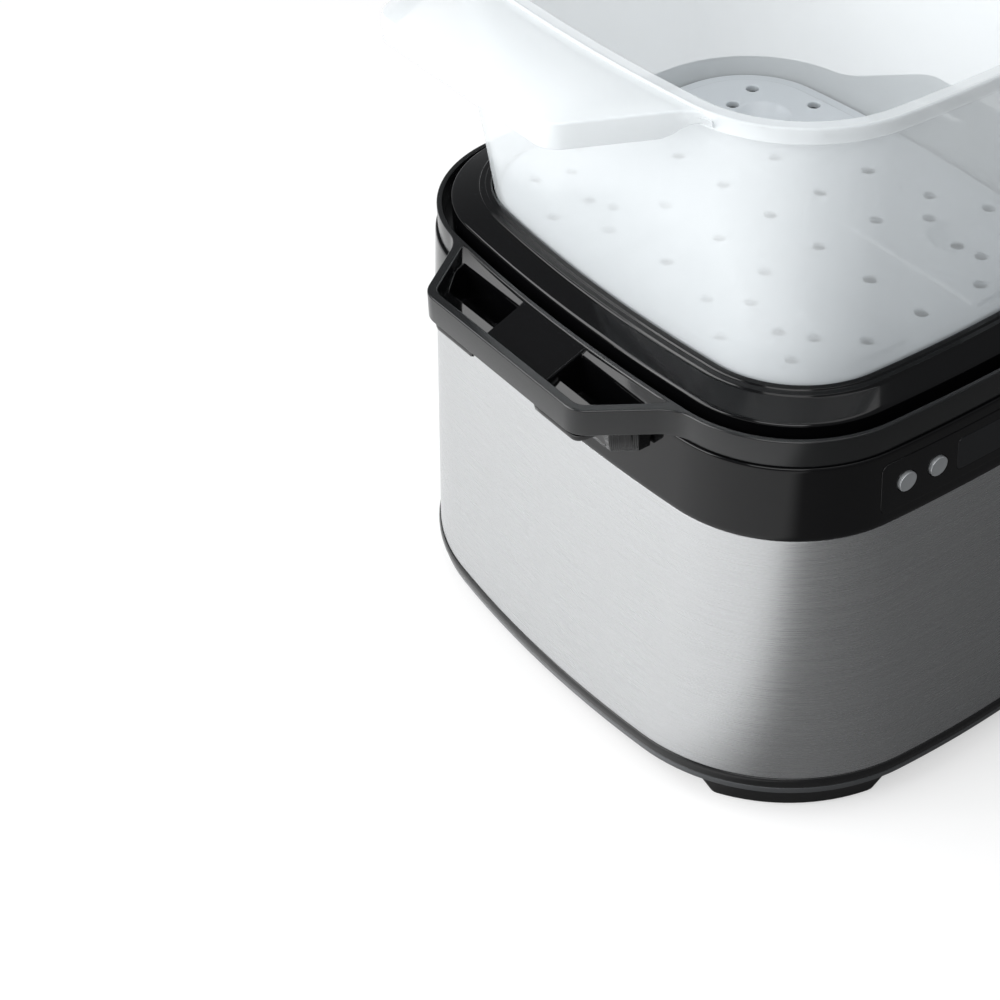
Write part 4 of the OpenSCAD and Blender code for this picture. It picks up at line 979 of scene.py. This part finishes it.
tank.cap([grid[-1, :, :2], heater_hole], tank_floor)
turned(tank, [(OPENING_R, tank_floor), (OPENING_R, z_under)], (0, 0, 0), steps=ROUND_STEPS)
for k in range(BOSSES):
    a = 2 * math.pi * k / BOSSES
    at = BOSS_AT * math.cos(a), BOSS_AT * math.sin(a)
    post(tank, *at, low("water_tank")[2], z_under + 0.5, 4, BORE)
tank.done("water_tank", "base", "tank_grey", angle=35)

SHEET_T = 1.2                            # the pressed steel
z_dome, z_heater = high("heater_plate")[2], low("heater_plate")[2]
heater = turned(Mesh(), soften([
    (0, z_dome - SHEET_T), (61, z_dome - SHEET_T), (66, z_heater), (76, z_heater),
    (76, z_heater + SHEET_T), (66.6, z_heater + SHEET_T), (61.6, z_dome), (0, z_dome)],
    1.0, closed=False), (0, 0, 0), steps=ROUND_STEPS)
heater.done("heater_plate", "base", "plate_steel", angle=50)

# %% [markdown]
# ## The drip tray
# A gloss black pan that rests on the frame's shelf. Its outer skirt stands in the channel, a sloped
# apron rises to a small lip round the basket's recess, and a shallow dish below catches what drips.
# Steam comes up through six slots with raised collars, so that the drips don't run back. The whole
# pan is one sweep, under its wall and back over it. The collars are stacks of slot loops that join
# the two flat caps of the dish.

# %% Drip tray
TRAY_T, DISH_DEPTH, DISH_IN = 2.3, 7.2, 12.0     # the wall, and the dish below the basket's seat
SLOT_PITCH, SLOT_IN, SLOT_LENGTH, SLOT_WIDTH, SLOT_STEPS = 48, 16.5, 34, 9, 12
z_seat = z_basket - 0.3
z_dish, z_edge, z_tray = z_seat - DISH_DEPTH, z_rim + 3.6, z_frame + 2.3
recess_o, dish_o = grow(basket_o, 0.8), grow(basket_o, -DISH_IN)
tray = Mesh()
grid = sweep([
    (dish_o, TRAY_T, z_dish - TRAY_T), (dish_o, TRAY_T, z_seat - TRAY_T),
    (recess_o, TRAY_T, z_seat - TRAY_T), (recess_o, TRAY_T, z_lip - 1.6 - TRAY_T),
    (tray_o, -TRAY_T, z_edge - TRAY_T), (tray_o, -TRAY_T, z_tray), (tray_o, 0, z_tray),
    (tray_o, 0, z_edge - 0.8), (tray_o, -0.8, z_edge), (recess_o, 6.6, z_lip - 2.2),
    (recess_o, 6.2, z_lip - 1.4), (recess_o, 3.6, z_lip - 1.1), (recess_o, 3.2, z_lip - 0.4),
    (recess_o, 0.8, z_lip), (recess_o, 0, z_lip - 0.6), (recess_o, 0, z_seat), (dish_o, 0, z_seat),
    (dish_o, 0, z_dish)],
    [0, 1, 1, 1, 1, 0.4, 0.4, 0.7, 0.9, 1.0, 0.4, 0.5, 0.4, 0.6, 0.4, 1.5, 1.0, 0], closed=False)
tray.grid(grid)
slots = [(SLOT_PITCH * k, s * (dish_o[1] - SLOT_IN)) for s in (-1, 1) for k in (-1, 0, 1)]
COLLAR = [(1.8, 0), (1.8, 3.9), (1.65, 4.25), (1.3, 4.4), (0.5, 4.4), (0.15, 4.25), (0, 3.9),
          (0, -TRAY_T)]                  # how far each loop of it is grown, and its height


def slot_loops(by):
    """Every slot's loop, grown by a distance."""
    return [capsule(*at, SLOT_LENGTH + 2 * by, SLOT_WIDTH + 2 * by, SLOT_STEPS) for at in slots]


collars = [np.dstack([slot_loops(by), np.full((len(slots), 2 * SLOT_STEPS + 2), z_dish + up)])
           for by, up in COLLAR]
for rows in np.swapaxes(collars, 0, 1):
    tray.grid(rows)
tray.cap([grid[-1, :, :2]] + slot_loops(COLLAR[0][0]), z_dish)
tray.cap([grid[0, :, :2]] + slot_loops(0), z_dish - TRAY_T, up=False)
tray.done("drip_tray", "tray", "gloss_black", angle=50)

# %% [markdown]
# ## The basket
# The basket is injection moulded from milky polypropylene, 2 mm thick, and its rims look brighter
# because one looks through more of it there. A Solidify modifier on one surface would give the wall,
# but not the ledge and the bead, so the hoop is swept: seat, outer wall, rim ledge, hanging lip, bead
# and inner wall. A wing on each side is a plate with a down-turned edge. The edge is 12 mm deep
# outside and shallow where it runs into the lip.

# %% Basket wall
BASKET_T, SEAT_IN, TAPER = 2.0, 10.0, 0.8        # the wall, the floor's seat, the foot's taper
foot_b = grow(basket_o, -TAPER)
seat_b = grow(basket_o, -SEAT_IN)
lip_o = grow(mouth_o, LEDGE)
outer_lip = grow(lip_o, LIP)
z_step, z_bead, z_lip_foot = z_basket + 2.2, z_mouth + BEAD, z_mouth - 6.5
basket = Mesh().grid(sweep([
    (seat_b, 0, z_basket), (foot_b, 0, z_basket), (basket_o, 0, z_lip),
    (mouth_o, BASKET_T, z_mouth - BASKET_T), (lip_o, 0, z_mouth - BASKET_T), (lip_o, 0, z_lip_foot),
    (outer_lip, 0, z_lip_foot), (outer_lip, 0, z_mouth + 0.3), (outer_lip, -0.5, z_bead),
    (lip_o, 0.5, z_bead), (lip_o, 0, z_mouth), (mouth_o, 0, z_mouth), (basket_o, -BASKET_T, z_lip),
    (foot_b, -BASKET_T, z_step), (seat_b, 0, z_step)],
    [0.5, 1.5, 0, 1.0, 0.8, 0.5, 0.5, 0.4, 0.3, 0.3, 0.4, 0.8, 0, 1.5, 0.5]), loop_rows=True)
print("basket wall:", basket.count, "points so far")

# %% Basket wings
SKIRT, SHALLOW, WING_T = 12.0, 5.0, 2.2  # the edge outside and next to the lip, and the plate
WING_ROOT, WING_GRIP = 88.0, 60.0        # half the wing's length at its root and at its end
ROOT_END = 98.0                          # past this half length the rounded root is the lip itself
wing_handle = (outer_lip[0] - ROOT_IN, high("steam_basket")[0], WING_ROOT, WING_GRIP)
edge = with_handles(outer_lip, wing_handle, ROUND)
edge = edge[(edge[:, 0] > 0) & (np.abs(edge[:, 1]) < ROOT_END + 1)]
edge = edge[np.argsort(np.arctan2(edge[:, 1], edge[:, 0] - WING_ROOT))]
rim = outline(grow(lip_o, 0.8))[0]
rim = rim[(rim[:, 0] > 0) & (np.abs(rim[:, 1]) < ROOT_END)]
rim = rim[np.argsort(-rim[:, 1])]
loop = densify(np.vstack([edge, rim]), 5)
depth = SHALLOW + (SKIRT - SHALLOW) * ramp((distance(loop, densify(rim, 1)) - 0.5) / 12)
# From the plate's underside down the edge's inner face, round its foot, and up to the plate's top:
# each row is an inset, a share of the edge's depth and a height over that
ROWS = [(2.4, 0, -WING_T), (2.05, 0, -WING_T - 0.3), (2.0, 1, 0.4), (1.6, 1, 0), (0.4, 1, 0),
        (0.0, 1, 0.4), (0, 0, -1.0), (0.15, 0, -0.45), (0.45, 0, -0.12), (1.0, 0, 0)]
for side in (1, -1):
    line, deep = (loop, depth) if side > 0 else (loop[::-1] * [-1, 1], depth[::-1])
    rows = np.array([np.column_stack([inset(line, by), z_mouth - share * deep + up])
                     for by, share, up in ROWS])
    basket.grid(rows)
    basket.cap([rows[0, :, :2]], z_mouth - WING_T, up=False)
    basket.cap([rows[-1, :, :2]], z_mouth)
basket.done("steam_basket", "basket", "basket_milk", angle=60)

# %% [markdown]
# ## The loose floor
# The floor is the skilled piece of this object. A panel 2.2 mm thick lies on the basket's seat. It
# carries four raised pads with a cross of channels between them, an egg dimple in each pad and 43
# steam holes, all with rounded edges. Cutting holes into a sculpted panel would spoil its shading, so
# its top is one height surface: the pads rise over a smooth ramp, and a dimple is a sphere of radius
# (r^2 + d^2) / 2d whose edge is rounded by a soft minimum. Points lie denser on ramps and dimples.

# %% The floor's height surfaces
floor_o = grow(basket_o, -3.4)
FLOOR_T, PAD_RISE, PAD_RUN, HOLE = 2.2, 1.4, 1.8, 3.25
z_floor = z_floor_top - FLOOR_T - PAD_RISE
CHANNEL_X, CHANNEL_Y, PAD_IN = 20.0, 18.5, 6.0       # the cross, and the pads' distance to the edge
DIMPLE, DIMPLE_R, DIMPLE_DEPTH = np.array([56.0, 70.6]), 14.8, 6.0
SPHERE = (DIMPLE_R**2 + DIMPLE_DEPTH**2) / (2 * DIMPLE_DEPTH)
z_centre = z_floor_top + SPHERE - DIMPLE_DEPTH

arc = densify(outline(grow(floor_o, -PAD_IN))[0], 1)
arc = arc[(arc[:, 0] >= CHANNEL_X) & (arc[:, 1] >= CHANNEL_Y)]
arc = arc[np.argsort(np.arctan2(arc[:, 1], arc[:, 0]))]
round_part = arc[7:-7:3]
pad = soften(np.vstack([[[CHANNEL_X, CHANNEL_Y]], arc[:1], round_part, arc[-1:]]),
             [8, 4] + [0] * len(round_part) + [4])
pad_line = densify(pad, 0.7)


def pad_depth(q):
    """How far a point of the first quarter lies inside the pad, from the pad's nearest edge."""
    left = leftwards(np.roll(pad_line, -1, 0) - np.roll(pad_line, 1, 0))
    out = []
    for part in np.array_split(q, len(q) // 2000 + 1):
        away = part[:, None] - pad_line
        near = np.argmin((away**2).sum(-1), 1)
        out.append((away[np.arange(len(near)), near] * left[near]).sum(1))
    return np.concatenate(out)


def soft_min(g, e=0.45):
    """The lower of g and 0, with a rounded corner: (g - sqrt(g^2 + e^2)) / 2."""
    return (g - np.sqrt(g * g + e * e)) / 2


def ball(q, radius):
    """Height of a sphere's lower half over the plane, for points of the first quarter."""
    rho = np.minimum(np.hypot(*(q - DIMPLE).T), radius * 0.97)
    return z_centre - np.sqrt(radius**2 - rho**2)


def floor_top(p):
    """The floor's top: the panel, the ramps of the pads, and the dimples sunk into them."""
    q = np.abs(p)
    z = z_floor + FLOOR_T + PAD_RISE * ramp(pad_depth(q) / PAD_RUN)
    return z + soft_min(ball(q, SPHERE) - z)


def floor_bottom(p):
    """The floor's underside, which bulges under the dimples so that the wall stays even."""
    return z_floor + soft_min(ball(np.abs(p), SPHERE + 1.8) - z_floor)


print("pads and dimples, highest and lowest:", floor_top(np.array([[40.0, 30.0], DIMPLE])).round(1))

# %% Basket floor
# The steam holes: eight round each dimple's middle, and eleven along the cross
quarter = DIMPLE + [(0, 0), (-21, -34), (14, -34), (28, -8), (0, -19.5), (-4, 19), (-21, 35), (14.5, 25)]
cross = [(32 * k, 0) for k in range(-2, 3)] + [(0, s * y) for s in (-1, 1) for y in (35, 70, 104)]
hole_at = [tuple(p * c) for c in corners for p in quarter] + cross
loops = [outline(floor_o)[0]] + [circle(x, y, HOLE) for x, y in hole_at]
ring_r = (2, 4.5, 6, 7.5, 9, 10.5, 12, 13, 13.7, 14.3, 14.9, 15.5, 16.2, 17.2)
rings = [circle(*DIMPLE, r, 44) for r in ring_r]
bands = [inset(pad_line[::2], by) for by in (-0.4, 0.0, 0.45, 0.9, 1.35, 1.8, 2.3)]
extra = np.vstack([np.vstack(rings + bands) * c for c in corners] + [spread(loops, 5.0, 1.0)])
extra = extra[distance(extra, np.vstack(loops)) > 1.1]
# The floor's finish is a darker copy of the milky polypropylene: painted shade for the dark tray under
# it
plate(Mesh(), loops, floor_bottom, floor_top, 0.8, 0.3, extra=extra).done(
    "basket_floor", "loose_floor", "floor_milk")

# %% [markdown]
# ## What stays from the CAD model
# The boards, the heater's parts, the screws, the switches and the rubber pads keep their CAD meshes,
# which are plain turned, drilled and cut forms that nothing would make better, and only take their
# finish.

# %% Finishes for the kept nodes
kept = {"rubber_pad": ["foot_pads"], "silicone": ["tank_seal"], "ceramic_body": ["thermostat"],
        "spreader_aluminium": ["heat_spreader"], "element_steel": ["heating_element"],
        "zinc_steel": ["clamp_ring", "clamp_screws", "board_screws", "base_screws"],
        "brass_cap": ["thermal_fuse", "temp_sensor"], "display_grey": ["display_module"],
        "board_green": ["power_board", "control_board"], "part_dark": ["power_parts", "tact_switches"]}
for slot, names in kept.items():
    for name in names:
        mesh = nodes[name].data
        mesh.materials.clear()
        mesh.materials.append(finish[slot])
print(sum(map(len, kept.values())), "CAD nodes keep their meshes")

# %% [markdown]
# ## Studio
# The object stands on a white sweep, as in a catalogue. A white world and a white floor bright enough
# for that would wash out the black and the steel, so both are white to the camera's own rays alone.
# Every reflection sees a dim sky and a floor whose colour, for reflections alone, is painted bright on
# the left and dark towards the front right: a painted shade that gives the steel its dark side. Far from
# the object the floor fades into plain white, so that no horizon shows.

# %% World and floor
WHITE = colour("#FFFFFF")
# The floor's painted shade for reflections: the direction across it, where the shade fades, and its two
# colours
FLOOR_ACROSS, FLOOR_FADE, FLOOR_REFLECTED_SHADE = (0.91, -0.42, 0), (-0.13, -0.05), (0.9, 0.16)
FAR_FADE = (0.5, 1.2)                    # metres from the object where the floor turns plain white
scene = bpy.context.scene
scene.view_settings.view_transform = "Standard"


def camera_ray(tree):
    """1 for the camera's own rays, 0 for all others."""
    return add(tree, "ShaderNodeLightPath").outputs["Is Camera Ray"]


def mixed(tree, factor, first, second):
    """Two shader nodes mixed by a factor: 0 gives the first."""
    return add(tree, "ShaderNodeMixShader", {0: factor, 1: first.outputs[0], 2: second.outputs[0]})


world = bpy.data.worlds.new("studio")
scene.world = world
world.use_nodes = True
tree = world.node_tree
tree.nodes.clear()
sky = add(tree, "ShaderNodeBackground", {"Color": colour("#E8EBEE"), "Strength": 0.3})
white = add(tree, "ShaderNodeBackground", {"Color": WHITE, "Strength": 1.0})
both = mixed(tree, camera_ray(tree), sky, white)
add(tree, "ShaderNodeOutputWorld", {"Surface": both.outputs[0]})

floor_mat, tree, shader = material("white sweep", "#F2F2F2", 0.6)
where = add(tree, "ShaderNodeTexCoord").outputs["Object"]
seen = camera_ray(tree)
# Painted shade seen only in reflections: the floor's colour darkens towards the front right
across = add(tree, "ShaderNodeVectorMath", {0: where, 1: FLOOR_ACROSS}, operation="DOT_PRODUCT")
shade = add(tree, "ShaderNodeMapRange", {
    "Value": across.outputs["Value"], "From Min": FLOOR_FADE[0], "From Max": FLOOR_FADE[1],
    "To Min": FLOOR_REFLECTED_SHADE[0], "To Max": FLOOR_REFLECTED_SHADE[1]}, interpolation_type="SMOOTHSTEP")
tone = add(tree, "ShaderNodeMix", {"Factor": seen, "A": shade.outputs[0], "B": 0.5})
tree.links.new(tone.outputs[0], shader.inputs["Base Color"])
dark = add(tree, "ShaderNodeEmission", {"Strength": 0.0})
glow = add(tree, "ShaderNodeEmission", {"Color": WHITE, "Strength": 0.5})
lift = mixed(tree, seen, dark, glow)
lit = add(tree, "ShaderNodeAddShader", {0: shader.outputs[0], 1: lift.outputs[0]})
away = add(tree, "ShaderNodeVectorMath", {0: where}, operation="LENGTH")
far = add(tree, "ShaderNodeMapRange", {
    "Value": away.outputs["Value"], "From Min": FAR_FADE[0], "From Max": FAR_FADE[1]},
    interpolation_type="SMOOTHSTEP")
far = add(tree, "ShaderNodeMath", {0: far.outputs[0], 1: seen}, operation="MULTIPLY")
plain = add(tree, "ShaderNodeEmission", {"Color": WHITE, "Strength": 1.0})
out = next(node for node in tree.nodes if node.bl_idname == "ShaderNodeOutputMaterial")
tree.links.new(mixed(tree, far.outputs[0], lit, plain).outputs[0], out.inputs["Surface"])
bpy.ops.mesh.primitive_plane_add(size=16, location=(0, 0, 0))
floor = bpy.context.object
floor.name = "studio_floor"
floor.data.materials.append(floor_mat)
print("floor material:", len(tree.nodes), "nodes")

# %% [markdown]
# ## Light and camera
# Four large square lamps light the object: a key from the front left, a broad one from the left for
# the long side, one behind it for the rim's highlights, and a weak one above. Large lamps give the
# soft, wide highlights that gloss black and brushed steel need to show their form. The camera looks
# down from the front left, close to the corner.

# %% Lamps, camera and the final box


def softbox(name, place, target, side, power):
    """A square area lamp of a size in metres and a power in watts, turned towards a point."""
    data = bpy.data.lights.new(name, "AREA")
    data.shape, data.size, data.energy = "SQUARE", side, power
    lamp = bpy.data.objects.new(name, data)
    scene.collection.objects.link(lamp)
    lamp.location = place
    lamp.rotation_euler = (Vector(target) - Vector(place)).to_track_quat("-Z", "Y").to_euler()


softbox("key", (-1.3, -1.2, 1.7), (0, 0, 0.2), 1.3, 20)
softbox("left", (-1.7, 0.5, 0.9), (0, 0, 0.2), 1.2, 27)
softbox("back_left", (-0.85, 1.0, 1.35), (-0.1, 0, 0.2), 0.9, 13)
softbox("top", (0.2, -0.2, 2.2), (0, 0, 0.2), 1.4, 9)

CAMERA, AIM, ROLL = Vector((-0.6037, -0.6566, 0.8058)), Vector((-0.2230, -0.0871, 0.2250)), -0.047
camera = bpy.data.objects.new("camera", bpy.data.cameras.new("camera"))
scene.collection.objects.link(camera)
scene.camera = camera
camera.data.sensor_width = 36
camera.data.lens = 77.75
camera.location = CAMERA
turn = (AIM - CAMERA).to_track_quat("-Z", "Y")
camera.rotation_euler = (turn @ Quaternion((0, 0, 1), ROLL)).to_euler()
